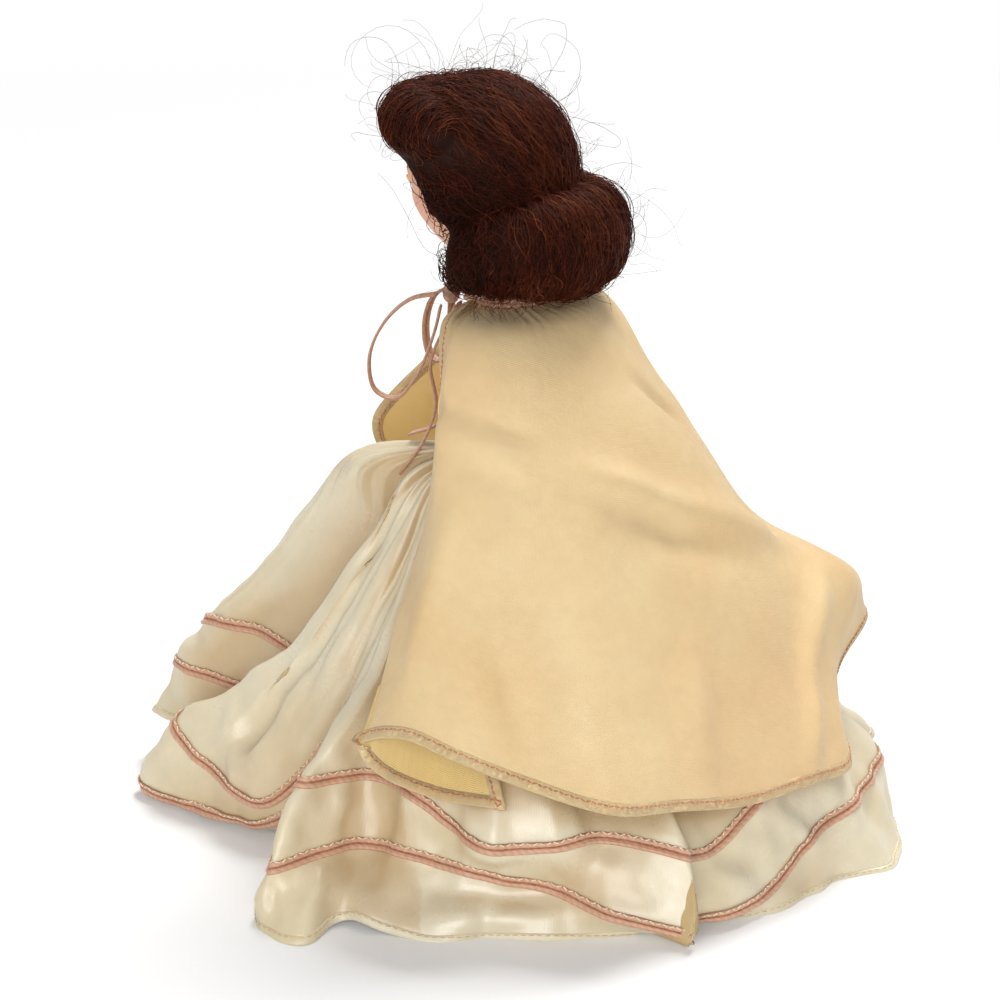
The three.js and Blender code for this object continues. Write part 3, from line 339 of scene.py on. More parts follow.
def curveThrough(points, steps, closed=False):
    # smooth curve through points[k, ..., 3], the same one that the solids follow
    points = np.asarray(points, float)
    count = len(points)
    spans = count if closed else count - 1
    place = np.clip(np.asarray(steps, float) * spans, 0, spans)
    first = np.minimum(place.astype(int), spans - 1)
    w = (place - first).reshape((-1,) + (1,) * (points.ndim - 1))
    if closed:
        around = [points[(first + k) % count] for k in (-1, 0, 1, 2)]
    else:
        longer = np.concatenate([2 * points[:1] - points[1:2], points, 2 * points[-1:] - points[-2:-1]])
        around = [longer[first + k] for k in (0, 1, 2, 3)]
    p0, p1, p2, p3 = around
    d0, d1, d2 = [
        np.maximum(np.linalg.norm(b - a, axis=-1, keepdims=True) ** 0.5, 1e-4)
        for a, b in ((p0, p1), (p1, p2), (p2, p3))
    ]
    t1 = ((p1 - p0) / d0 - (p2 - p0) / (d0 + d1) + (p2 - p1) / d1) * d1
    t2 = ((p2 - p1) / d1 - (p3 - p1) / (d1 + d2) + (p3 - p2) / d2) * d1
    return p1 + w * t1 + w**2 * (-3 * p1 + 3 * p2 - 2 * t1 - t2) + w**3 * (2 * p1 - 2 * p2 + t1 + t2)


def softHump(values, centre, wide):
    return np.exp(-(((values - centre) / wide) ** 2))


def unit(vectors):
    return vectors / np.maximum(np.linalg.norm(vectors, axis=-1, keepdims=True), 1e-9)


def wholeRing(line, closed):
    return np.concatenate([line, line[:1]]) if closed else np.asarray(line)


def farAlong(line):
    # how far along a line each of its points lies
    return np.concatenate([[0], np.cumsum(np.linalg.norm(np.diff(line, axis=0), axis=1))])


def pointsAt(line, far, places):
    return np.stack([np.interp(places, far, line[:, k]) for k in range(3)], axis=1)


def evenly(line, count, closed=False):
    # the same line with points at even distances
    ring = wholeRing(line, closed)
    far = farAlong(ring)
    return pointsAt(ring, far, np.linspace(0, far[-1], count, endpoint=not closed))


def headings(line, closed=False):
    return unit(np.roll(line, -1, axis=0) - np.roll(line, 1, axis=0) if closed else np.gradient(line, axis=0))


def gridNormals(grid, wrap):
    if wrap:
        along = np.roll(grid, -1, axis=1) - np.roll(grid, 1, axis=1)
    else:
        along = np.gradient(grid, axis=1)
    return unit(np.cross(np.gradient(grid, axis=0), along))


def gridCells(grid, wrap):
    spans = grid.shape[1] if wrap else grid.shape[1] - 1
    return np.meshgrid(np.arange(grid.shape[0] - 1), np.arange(spans), indexing="ij")


def gridFaces(grid, wrap):
    columns = grid.shape[1]
    i, j = gridCells(grid, wrap)
    after = (j + 1) % columns
    faces = [i * columns + j, (i + 1) * columns + j, (i + 1) * columns + after, i * columns + after]
    return np.stack(faces, -1).reshape(-1, 4)


def gridObject(name, grid, wrap):
    # rows run down, columns run round; the surface map is the cloth's own measure in metres
    i, j = gridCells(grid, wrap)
    u = farAlong(wholeRing(grid[len(grid) // 2], wrap)) * mm
    v = np.concatenate([[0], np.cumsum(np.linalg.norm(np.diff(grid, axis=0), axis=2).mean(axis=1))]) * mm
    corners = [(u[j], v[i]), (u[j], v[i + 1]), (u[j + 1], v[i + 1]), (u[j + 1], v[i])]
    uvs = np.stack([np.stack(corner, -1) for corner in corners], axis=2)
    return meshObject(name, grid, gridFaces(grid, wrap).tolist(), uvs)


def gridTree(grid, wrap):
    return BVHTree.FromPolygons([Vector(p) for p in grid.reshape(-1, 3)], gridFaces(grid, wrap).tolist())


def thicken(piece, thickness, lining=True):
    solidify = piece.modifiers.new("thickness", "SOLIDIFY")
    solidify.thickness = thickness * mm
    solidify.offset = -1
    solidify.use_even_offset = False
    if lining:
        solidify.material_offset = 1
    return piece


def clothArea(grid, wrap):
    rolled = np.roll(grid, -1, axis=1) if wrap else grid[:, 1:]
    start = grid if wrap else grid[:, :-1]
    a, b, c, d = start[:-1], start[1:], rolled[1:], rolled[:-1]
    halves = np.linalg.norm(np.cross(b - a, d - a), axis=-1) + np.linalg.norm(np.cross(b - c, d - c), axis=-1)
    return halves.sum() / 2 * mm**2


def onlySelect(piece):
    bpy.ops.object.select_all(action="DESELECT")
    bpy.context.view_layer.objects.active = piece
    piece.select_set(True)


def turnOutwards(piece):
    onlySelect(piece)
    bpy.ops.object.mode_set(mode="EDIT")
    bpy.ops.mesh.select_all(action="SELECT")
    bpy.ops.mesh.normals_make_consistent(inside=False)
    bpy.ops.object.mode_set(mode="OBJECT")


def sweep(name, line, across, normal, profile, closed=False):
    # a band along a line: profile is (across, out) in millimetres, drawn all the way round
    profile = np.asarray(profile, float)
    count, sides = len(line), len(profile)
    points = line[:, None] + across[:, None] * profile[None, :, :1] + normal[:, None] * profile[None, :, 1:]
    spans = count if closed else count - 1
    i, j = np.meshgrid(np.arange(spans), np.arange(sides), indexing="ij")
    nextRow, nextSide = (i + 1) % count, (j + 1) % sides
    corners = [i * sides + j, nextRow * sides + j, nextRow * sides + nextSide, i * sides + nextSide]
    faces = np.stack(corners, -1).reshape(-1, 4).tolist()
    far = farAlong(wholeRing(line, closed)) * mm
    v = (profile[:, 0] - profile[:, 0].min()) / np.ptp(profile[:, 0])
    corners = [(far[i], v[j]), (far[i + 1], v[j]), (far[i + 1], v[nextSide]), (far[i], v[nextSide])]
    uvs = np.stack([np.stack(corner, -1) for corner in corners], axis=2).reshape(-1, 2)
    if not closed:
        last = (count - 1) * sides
        faces += [list(range(sides)), list(range(last + sides - 1, last - 1, -1))]
        ends = np.stack([np.zeros(sides), v], -1)
        uvs = np.concatenate([uvs, ends, ends[::-1] + (far[-1], 0)])
    piece = meshObject(name, points, faces, uvs)
    turnOutwards(piece)
    return piece


def tubeFaces(rings, sides, count, caps=()):
    # faces of many like tubes, one after the other
    i, j = np.meshgrid(np.arange(rings - 1), np.arange(sides), indexing="ij")
    k = (j + 1) % sides
    corners = [i * sides + j, i * sides + k, (i + 1) * sides + k, (i + 1) * sides + j]
    one = np.concatenate([np.stack(corners, -1).reshape(-1, 4), np.array(caps, int).reshape(-1, 4)])
    return (one[None] + (np.arange(count) * rings * sides)[:, None, None]).reshape(-1, 4).tolist()


def stitchRow(name, line, normal, stitch, closed=False):
    # thread lying in short stitches, each a small spindle
    ring = wholeRing(line, closed)
    far = farAlong(ring)
    count = int(far[-1] / stitch["pitch"])
    middle = (np.arange(count) + 0.5) * far[-1] / count
    half, radius = stitch["length"] / 2, stitch["radius"]
    start, end = [pointsAt(ring, far, middle + way * half) for way in (-1, 1)]
    centre, forward = (start + end) / 2, unit(end - start)
    out = unit(pointsAt(wholeRing(normal, closed), far, middle))
    side = unit(np.cross(out, forward))
    lean = np.where(np.arange(count) % 2 == 0, 1.0, -1.0)[:, None] * stitch["lean"]
    forward = unit(forward + side * lean)
    side = unit(np.cross(out, forward))
    shares = np.array([-1.0, -0.72, 0.0, 0.72, 1.0])
    fat = np.array([0.12, 0.75, 1.0, 0.75, 0.12])
    angles = np.arange(6) * math.pi / 3
    points = (
        centre[:, None, None]
        + forward[:, None, None] * (shares * half)[None, :, None, None]
        + side[:, None, None] * (fat[:, None] * np.cos(angles) * radius)[None, :, :, None]
        + out[:, None, None] * (fat[:, None] * np.sin(angles) * radius + stitch["lift"])[None, :, :, None]
    )
    caps = [[0, 5, 4, 3], [0, 3, 2, 1], [24, 25, 26, 27], [24, 27, 28, 29]]
    return meshObject(name, points, tubeFaces(len(shares), len(angles), count, caps))


# tied bow: a flat ribbon at its real length, two loops and two tails
bow = dict(
    turn=20, radius=11.2, z=107.9, knot=1.9, edge=2.7, width=2.3, points=72,
    loops=dict(
        left=(22, [(0, 0.2), (5, 1.4), (10, 6), (13, 13), (12, 19.5), (8, 21), (4, 16.5), (0.6, 8),
                   (-0.7, 2.6)]),
        right=(-4, [(0, 0.4), (3.4, 3), (5.2, 9), (4, 14.6), (1.6, 15.4), (-0.2, 10), (-0.8, 2.8)]),
    ),
    tails=dict(
        left=(23, [(-0.8, 2.5), (1.4, 7), (4, 14), (3, 22), (5.2, 29), (10, 36)]),
        right=(6, [(-0.9, 2.5), (0.4, 7), (2.4, 15), (1.6, 21.5), (3.4, 27), (9.6, 30)]),
    ),
)
ribbonProfile = [
    (-1.15, 0.0), (-1.1, 0.17), (-0.8, 0.27), (-0.45, 0.22), (-0.16, 0.1), (0.16, 0.1), (0.45, 0.22),
    (0.8, 0.27), (1.1, 0.17), (1.15, 0.0), (1.1, -0.17), (0.8, -0.27), (0.45, -0.22), (0.16, -0.1),
    (-0.16, -0.1), (-0.45, -0.22), (-0.8, -0.27), (-1.1, -0.17),
]


def bowRibbon(name, turn, offsets, start, node):
    points = np.array([polar(turn, bow["radius"] + start + out, bow["z"] - drop) for out, drop in offsets])
    line = evenly(curveThrough(points, np.linspace(0, 1, 400)), bow["points"])
    across = np.repeat(polar(turn + 90, 1.0, 0.0)[None], len(line), axis=0)
    ribbon = sweep(name, line, across, unit(np.cross(headings(line), across)), ribbonProfile)
    dress(ribbon, "torso", [ribbonBraid], [node])
    return ribbon


for sideName, (turn, offsets) in bow["loops"].items():
    bowRibbon("bowLoop" + sideName.title(), turn, offsets, bow["edge"], "bow_loop_" + sideName)
for sideName, (turn, offsets) in bow["tails"].items():
    bowRibbon("bowTail" + sideName.title(), turn, offsets, 0, "bow_tail_" + sideName)


# gown skirt: fold lines down from the waist, then gathers, soft folds and crumples
# each line gives (turn, radius, z) below the waist, at the hip, at the knee, at both ribbons and at the hem
skirt = dict(
    waist=(10.7, 8.7, 77.9), hipZ=66, hipRadius=17.2, topZ=74, topRadius=13.2, hemZ=8, hemRadius=46,
    segmentRows=(8, 16, 18, 18, 15, 14), columnsPerLine=14, rowPoints=700, lowest=0.35, cloth=0.32, seed=11,
    folds=[
        [(6, 32.6, 72.9), (6, 43, 60.7), (6, 55, 45.3), (5.5, 67.5, 33), (5, 74, 22.3), (5, 80, 11.2)],
        [(19.5, 29, 72.3), (13, 31, 60.5), (13.5, 40, 45), (12.5, 48.5, 33.2), (11.5, 57.5, 21.3), (9.5, 68, 11)],
        [(26, 15.5, 72), (24, 20.5, 58), (22, 28.5, 41), (20, 36, 27), (18, 43, 16), (16, 51, 6)],
        [(40, 19.4, 74), (37, 27, 61.4), (31, 42, 38), (21, 66.8, 17.3), (18, 74.1, 3.4), (21, 63.5, 0.6)],
        [(47, 18.5, 73), (44, 27.5, 59.5), (38, 41, 37.5), (30, 58.3, 11), (29, 62.5, 1.8), (32, 52, 0.6)],
        [(53, 17, 73), (52, 24.5, 59), (48, 35, 38), (44, 49.5, 9.5), (41, 51, 3.4), (42, 45, 0.6)],
        [(62, 16, 73), (60, 22.5, 58.5), (58, 32, 40), (57, 40, 24), (57, 46.5, 12), (57, 49, 1)],
        [(70, 17, 73), (70, 26.5, 58), (71, 37.5, 38.5), (72, 54.5, 24.5), (74, 64.5, 11), (72, 65.5, 0.5)],
        [(76, 16.5, 73), (76, 24, 58), (77, 34, 40), (76.5, 46.5, 24.5), (78, 54, 12.2), (83, 67, 0.5)],
        [(82, 15.5, 73), (82, 22.5, 58), (82, 32, 40.5), (81, 42, 24.2), (82, 47.5, 12.7), (85, 56.5, 2.2)],
        [(92, 15.5, 73), (93, 22.6, 58), (93, 33, 40), (94, 43, 22.8), (93, 47, 12.6), (94, 55.3, 1)],
        [(103, 15.8, 73), (104, 23, 58), (104, 34, 40), (104, 45.8, 19.2), (104, 47.2, 11.4), (103, 55.6, 0.4)],
        [(114, 15.6, 73), (114, 23, 58), (114, 36, 39.5), (114, 52.3, 17.4), (114, 47.6, 10), (113, 52.6, 0.4)],
        [(125, 15.6, 73), (125, 23.3, 58), (125, 36, 39.5), (126, 51.5, 17.6), (126, 49.6, 8.2), (125, 53, 0.4)],
        [(136, 16, 73), (136, 24, 58), (136, 37, 40), (137, 50.5, 18), (137, 56.5, 5.3), (138, 55.5, 0.5)],
        [(148, 16.5, 73), (148, 26, 58), (149, 39.5, 39), (150, 61, 16), (148.5, 66.8, 2.4), (147, 57, 0.6)],
        [(150, 15.5, 73), (149, 24.5, 58), (148.5, 36.5, 39.5), (147.5, 56, 14.5), (146, 61, 2.6), (145, 54, 0.6)],
        [(157, 15.6, 73), (157, 24.5, 58), (157, 37, 39.5), (157, 58.5, 14.2), (158, 63.5, 2.9), (159, 60, 0.5)],
        [(168, 15.6, 73), (168, 24.5, 58), (169, 38, 40), (170, 58, 19.6), (170, 63.2, 4.6), (167, 64, 0.5)],
        [(181, 16, 73), (181, 25.5, 58), (181, 40, 40), (181, 57.5, 22.5), (181, 64, 9.8), (181.5, 68, 0.4)],
        [(190, 17.5, 73), (190, 29, 58), (190, 44.5, 40), (190, 60.5, 24.5), (191, 69, 12.6), (191, 77, 0.4)],
        [(200, 17, 73), (200, 28.5, 58), (200, 44, 40.5), (200, 60, 25.5), (201, 71, 13.4), (200, 77.5, 0.4)],
        [(209, 16.5, 73), (209, 28, 58), (209, 43, 41), (209, 60, 25.5), (210, 71.5, 13.6), (209, 75.5, 0.4)],
        [(222, 15.8, 73), (222, 24.5, 58), (222, 36.5, 40), (222, 47.5, 24), (221, 54, 12.5), (220, 60, 1)],
        [(236, 17.5, 73), (236, 29.5, 59), (235, 46, 42), (233, 61, 27), (231, 71, 16), (230, 80.5, 6)],
        [(254, 15.6, 73), (254, 23.5, 58), (254, 33, 40), (254, 41, 24), (254, 46.8, 12.5), (254, 52, 2)],
        [(274, 16, 73), (274, 25.5, 58), (274, 40, 40.5), (274, 51.5, 25), (274, 59.5, 13), (274, 67, 0.5)],
        [(296, 15.6, 73), (296, 23.5, 58), (296, 33, 40), (296, 41, 24), (296, 46.8, 12.5), (296, 53, 1)],
        [(320, 16.5, 73), (320, 27.5, 58), (320, 41, 40.5), (320, 53, 25), (320, 61, 13), (320, 68.5, 0.5)],
        [(343, 15.6, 73), (343, 23.5, 58), (343, 33, 41), (343, 42, 27), (343, 48, 15.5), (343, 54, 5)],
    ],
    creases=[
        ((43, 70), (44, 50), 2.2, -1.5), ((44, 50), (38.5, 33), 2.6, -1.9), ((54, 65), (50.5, 50), 2.4, 1.3),
        ((50.5, 50), (46, 30), 3.0, 1.6), ((41, 33), (41, 24), 2.4, 1.7), ((41, 24), (40, 14), 2.6, 1.9),
        ((33.5, 37), (34.6, 25), 3.2, -2.2), ((34.6, 25), (33, 17.5), 3.0, -1.8), ((26, 26), (31, 16.5), 2.4, 1.5),
        ((31, 16.5), (38, 13), 2.4, 1.6), ((77, 22), (78, 14), 2.4, 1.2), ((86, 22), (87, 10), 3.4, -1.6),
        ((94, 15), (101, 12), 2.6, 1.1), ((80, 8.5), (82, 2), 1.9, 1.4), ((75, 9), (77, 2), 1.9, -1.4),
        ((103, 3), (127, 4.5), 2.2, 1.2), ((99, 6.5), (124, 7), 2.0, -0.9), ((140, 13), (152, 6), 3.0, 1.1),
        ((160, 15), (167, 6), 3.0, -1.3), ((175, 17), (183, 4), 3.0, 1.3), ((194, 17), (197, 3), 3.0, -1.3),
        ((205, 20), (207, 6), 3.0, 1.2), ((234, 46), (238, 14), 3.6, -1.4), ((272, 40), (270, 10), 3.4, 1.3),
        ((290, 36), (296, 12), 3.4, -1.2), ((318, 50), (322, 16), 3.6, 1.4), ((336, 40), (341, 12), 3.0, 1.2),
    ],
)


def petticoatRadius(z):
    z = np.asarray(z, float)
    upper = (z - skirt["hipZ"]) / (skirt["topZ"] - skirt["hipZ"])
    lower = (skirt["hipZ"] - z) / (skirt["hipZ"] - skirt["hemZ"])
    above = skirt["hipRadius"] + (skirt["topRadius"] - skirt["hipRadius"]) * upper
    below = skirt["hipRadius"] + (skirt["hemRadius"] - skirt["hipRadius"]) * lower
    return np.where(z > skirt["hipZ"], above, below)


def ripples(u, v, counts, drift, rng):
    # waves that close round the skirt and wander a little on the way down
    total = 0
    for count in counts:
        phase, wander = rng.uniform(0, 2 * math.pi), rng.normal(0, drift)
        total = total + np.cos(2 * math.pi * count * u + phase + wander * v)
    return total / len(counts)


def noiseOver(points, scale, seed):
    flat = points.reshape(-1, 3) * scale + seed * 7.3
    return np.array([noise.noise(p) for p in flat.tolist()]).reshape(points.shape[:-1])


def creased(grid, normal, creases, depth):
    # soft creases as (turn, z) places, then how wide and how high
    moved = np.zeros(grid.shape[:2])
    flat = grid.reshape(-1, 3)
    turns = np.degrees(np.arctan2(flat[:, 0], -flat[:, 1])) % 360
    radii = np.hypot(flat[:, 0], flat[:, 1])
    for *ends, wide, high in creases:
        gaps = [np.hypot(np.radians(turns - turn) * radii, flat[:, 2] - z) for turn, z in ends]
        first, last = [flat[gap.argmin()] for gap in gaps]
        along = last - first
        share = np.clip((grid - first) @ along / (along @ along), 0, 1)
        away = np.linalg.norm(grid - first - share[..., None] * along, axis=-1)
        moved += depth * high * np.exp(-((away / wide) ** 2)) * np.sin(np.pi * (0.12 + 0.76 * share))
    return grid + normal * moved[..., None]


def skirtGrid():
    wide, deep, high = skirt["waist"]
    lines = []
    for line in skirt["folds"]:
        angle = math.radians(line[0][0])
        waist = (wide * math.sin(angle), -deep * math.cos(angle), high)
        lines.append([waist] + [polar(*place) for place in line])
    lines = np.array(lines)
    bands = [np.linspace(k, k + 1, n, endpoint=False) for k, n in enumerate(skirt["segmentRows"])]
    shares = np.append(np.concatenate(bands), len(bands)) / len(bands)
    across = curveThrough(lines.transpose(1, 0, 2), shares)
    columns = len(lines) * skirt["columnsPerLine"]
    grid = curveThrough(across.transpose(1, 0, 2), np.arange(columns) / columns, closed=True)
    grid = grid.transpose(1, 0, 2)
    hip = grid[np.argmin(np.abs(shares - 0.4))]
    far = np.cumsum(np.linalg.norm(np.roll(hip, -1, axis=0) - hip, axis=1))
    uu, vv = np.meshgrid(np.append(0, far[:-1]) / far[-1], shares)
    rng = np.random.default_rng(skirt["seed"])
    normal = gridNormals(grid, True)
    gathers = ripples(uu, vv, (43, 52, 61, 74), 4.0, rng) * 0.95 * np.exp(-(((vv - 0.16) / 0.16) ** 2))
    folds = ripples(uu, vv, (17, 23, 29), 6.0, rng) * 0.8 * np.clip((vv - 0.1) * 2.2, 0, 1)
    folds += (0.5 - np.abs(ripples(uu, vv, (31, 38, 44), 9.0, rng))) * 0.8 * softHump(vv, 0.45, 0.24)
    crumple = noiseOver(grid, 0.085, 1) * 2.0 + noiseOver(grid, 0.2, 2) * 0.7
    moved = grid + normal * (gathers + folds + crumple * np.clip((vv - 0.2) * 2, 0, 1))[..., None]
    moved = creased(moved, gridNormals(moved, True), skirt["creases"], 1.0)
    moved[..., 2] = np.maximum(moved[..., 2], skirt["lowest"])
    return moved, shares


skirtCloth, skirtShares = skirtGrid()
skirtPiece = thicken(gridObject("skirtCloth", skirtCloth, True), skirt["cloth"])
dress(skirtPiece, "torso", [satin, satinInsideShaded], ["skirt"])
print("skirt:", skirtCloth.shape, "area", round(clothArea(skirtCloth, True), 4), "square metres")


def rowAt(values, share):
    place = np.interp(share, skirtShares, np.arange(len(skirtShares)))
    low = min(int(place), len(values) - 2)
    return values[low] + (values[low + 1] - values[low]) * (place - low)


raisedRibbon = [
    (-1.15, 0.02), (-1.12, 0.3), (-0.85, 0.52), (-0.5, 0.46), (-0.2, 0.24), (0.2, 0.24), (0.5, 0.46),
    (0.85, 0.52), (1.12, 0.3), (1.15, 0.02),
]
ribbonStitch = dict(pitch=1.25, length=1.15, radius=0.15, lift=0.3, lean=0.12)
tackStitch = dict(ribbonStitch, lift=0.48, lean=0.5)
hemProfile = [
    (-1.3, 0.02), (-1.2, 0.2), (-0.7, 0.26), (0.0, 0.24), (0.35, 0.1), (0.4, -0.18), (0.1, -0.5), (-1.2, -0.5),
]
hemStitch = dict(pitch=1.5, length=1.1, radius=0.1, lift=0.28, lean=0.1)


def skirtRow(share, count):
    line = evenly(rowAt(skirtCloth, share), count, closed=True)
    normal = np.array([skirtTree.find_nearest(Vector(p))[1] for p in line])
    for _ in range(3):
        normal = unit(normal + np.roll(normal, 1, axis=0) + np.roll(normal, -1, axis=0))
    forward = headings(line, closed=True)
    across = unit(np.cross(normal, forward))
    return line, across, unit(np.cross(forward, across))


skirtTree = gridTree(skirtCloth, True)
skirtTrim = []
for label, level in (("Lower", 5), ("Upper", 4)):
    line, across, normal = skirtRow(level / len(skirt["segmentRows"]), skirt["rowPoints"])
    ribbon = sweep("skirtRibbon" + label, line, across, normal, raisedRibbon, closed=True)
    dress(ribbon, "torso", [ribbonBraid], ["skirt_ribbon_" + label.lower()])
    stitches = stitchRow("ribbonStitches" + label, line, normal, ribbonStitch, closed=True)
    dress(stitches, "torso", [ribbonThread])
    upper = line + across * np.sign(across[:, 2].mean()) * 0.98
    tacks = stitchRow("ribbonTacks" + label, upper, normal, tackStitch, closed=True)
    dress(tacks, "torso", [tackThread])
    skirtTrim += [ribbon, stitches, tacks]
line, across, normal = skirtRow(0.997, skirt["rowPoints"])
skirtHem = sweep("skirtHem", line, across, normal, hemProfile, closed=True)
skirtTrim.append(dress(skirtHem, "torso", [satin]))
hemSewing = stitchRow("skirtHemStitches", line, normal, hemStitch, closed=True)
skirtTrim.append(dress(hemSewing, "torso", [hemThread]))
print("skirt trim: two ribbons and a hem")


# cape: lines from the neck to the hem, each (turn, flare, drop) on the shoulder, under the arm, at the hip,
# at the knee where a fold breaks there, and at the hem
cape = dict(
    neckZ=107.4, armTop=103.8, armOutside=21.1, columnsPerLine=16, rows=100, edgePoints=760, edgeTop=6,
    cloth=0.34, creaseDepth=2.0, seed=5,
    lines=[
        (47, (80, -0.2, -2.6), (91, 3.4, 16), (99, 11, 44), (117, 12.6, 79)),
        (49, (83, 0, -2.6), (89.5, 4, 15.5), (93, 12.9, 42.5), (101, 11.8, 78)),
        (50.5, (85, 0.2, -2.6), (88.6, 4.5, 15.2), (88, 15, 40.8), (90, 18, 73)),
        (53, (86, 0.3, -2.6), (88.6, 5, 15), (87, 15.8, 40), (86, 20.4, 68.4)),
        (66, (90, 1, -1.9), (94, 10.8, 16), (96, 23, 41), (97, 24.8, 64.3)),
        (86, (104, 2, -1.6), (106, 12, 16), (108, 26, 42), (108, 25.3, 66.8)),
        (110, (122, -1, -1.3), (122, 12, 17), (122, 24.5, 44), (121, 20.4, 72.8)),
        (135, (138, -3, -1.4), (137, 12, 17), (136, 26, 44), (135, 26, 75.8)),
        (155, (153, -4, -1.7), (151, 11.5, 17), (150, 26, 44), (149, 23, 78.5)),
        (172, (170, -4.5, -2.1), (167, 11, 17), (165, 26, 43), (163, 22.4, 81.3)),
        (188, (187, -4.5, -2.3), (184, 11, 17), (182, 28, 42), (179, 25, 82.3)),
        (200, (199, -4.2, -2.4), (198, 10, 17), (196, 28.5, 41.5), (190, 28.2, 83.3)),
        (212, (211, -3.5, -2.4), (208, 9.4, 16.5), (205, 28, 43), (205, 36.9, 56.8), (201, 24.9, 78.8)),
        (222, (221, -3, -2.3), (217, 9.6, 16), (212, 27.5, 42), (211, 42, 54.2), (213, 30, 74.8)),
        (232, (230, -1.5, -2.1), (225, 10, 16), (220, 29, 42), (219, 43.1, 56.3), (223, 42.6, 67.3)),
        (245, (243, 0, -2), (239, 11, 16), (234, 27, 44), (232, 37, 57.8), (233, 34, 72)),
        (260, (260, 2, -1.9), (257, 12, 16), (255, 25, 44), (254, 23.4, 78)),
        (285, (278, 3.5, -1.9), (277, 12.5, 15), (277, 25, 43), (276, 25.6, 74)),
        (305, (292, 6, -2.1), (300, 15, 15), (303, 28, 41), (300, 30, 66)),
        (325, (300, 7.5, -2.3), (317, 20, 16), (327, 36.5, 36), (320, 36, 54)),
    ],
    creases=[
        ((91, 94), (124, 89.5), 1.9, -1.1), ((95, 90), (126, 84), 2.6, 0.9), ((139, 84), (168, 75), 2.8, 1.3),
        ((168, 75), (208, 58), 3.2, 1.5), ((150, 75), (190, 60), 4.5, -0.9), ((178, 95), (196, 85), 1.8, -0.9),
        ((206, 52), (192, 39), 2.6, 1.1), ((192, 39), (180, 24), 2.6, 1.2), ((128, 66), (134, 34), 5.0, 0.8),
        ((104, 80), (96, 48), 3.4, 0.9), ((112, 60), (122, 36), 4.0, -0.8), ((160, 50), (154, 28), 4.0, 0.9),
        ((240, 84), (262, 60), 3.0, 1.1), ((270, 80), (286, 52), 3.2, 1.1), ((248, 60), (256, 32), 3.6, 0.9),
    ],
)


def collarRadius(turn):
    towardsKnot = max(math.cos(math.radians(turn - bow["turn"])), 0)
    return 7.4 + 1.6 * towardsKnot**20


def capeGrid():
    lines = []
    for neck, *places in cape["lines"]:
        points = [polar(neck, collarRadius(neck) + 0.3, cape["neckZ"])]
        for turn, flare, drop in places:
            z = cape["armTop"] - drop
            base = cape["armOutside"] if z > skirt["hipZ"] else petticoatRadius(z)
            points.append(polar(turn, base + flare, z))
        if len(points) == 5:  # most lines fall straight from the hip to the hem
            points.insert(4, curveThrough(points, [0.875])[0])
        lines.append(points)
    lines = np.array(lines)
    shares = np.linspace(0, 1, cape["rows"])
    across = curveThrough(lines.transpose(1, 0, 2), shares)
    u = np.linspace(0, 1, (len(lines) - 1) * cape["columnsPerLine"] + 1)
    grid = curveThrough(across.transpose(1, 0, 2), u).transpose(1, 0, 2)
    uu, vv = np.meshgrid(u, shares)
    normal = gridNormals(grid, False)
    rng = np.random.default_rng(cape["seed"])
    gathers = ripples(uu, vv, (31, 37, 44), 2.0, rng) * 0.35 * np.exp(-((vv / 0.12) ** 2))
    folds = noiseOver(grid, 0.035, 3) * 1.4 + noiseOver(grid, 0.09, 4) * 0.45
    grid = grid + normal * (gathers + folds * np.clip(vv * 4, 0, 1))[..., None]
    return creased(grid, gridNormals(grid, False), cape["creases"], cape["creaseDepth"])


capeCloth = capeGrid()
capePiece = thicken(gridObject("capeCloth", capeCloth, False), cape["cloth"])
dress(capePiece, "torso", [taffeta, taffetaShadedInside], ["cape"])
print("cape:", capeCloth.shape, "area", round(clothArea(capeCloth, False), 4), "square metres")


def capeEdge():
    # down the left front edge, along the hem and up the right front edge
    sides = slice(cape["edgeTop"], -1)
    line, facing = [
        np.concatenate([values[sides, 0], values[-1], values[sides, -1][::-1]])
        for values in (capeCloth, gridNormals(capeCloth, False))
    ]
    even = evenly(line, cape["edgePoints"])
    facing = facing[np.linalg.norm(even[:, None] - line[None], axis=2).argmin(axis=1)]
    for _ in range(4):
        facing[1:-1] = unit(facing[1:-1] * 2 + facing[:-2] + facing[2:])
    inward = unit(np.cross(facing, headings(even)))
    half = len(even) // 2
    towardsNeck = capeCloth[-5] - capeCloth[-1]
    return even, inward * np.sign(towardsNeck[capeCloth.shape[1] // 2] @ inward[half]), facing


def valleyDepth(grid, nearby=17, deep=11):
    # how far each point of the skirt lies behind the folds beside it
    turns = np.degrees(np.arctan2(grid[..., 0], -grid[..., 1]))
    radii = np.hypot(grid[..., 0], grid[..., 1])
    depth = np.zeros(grid.shape[:2])
    for i, (turn, radius) in enumerate(zip(turns, radii)):
        gap = (turn[None] - turn[:, None] + 180) % 360 - 180
        before = np.where((gap < 0) & (gap > -nearby), radius[None], 0).max(axis=1)
        after = np.where((gap > 0) & (gap < nearby), radius[None], 0).max(axis=1)
        high, low = np.maximum(before, after), np.minimum(before, after)
        depth[i] = np.clip((0.7 * high + 0.3 * low - radius) / deep, 0, 1)
    return depth


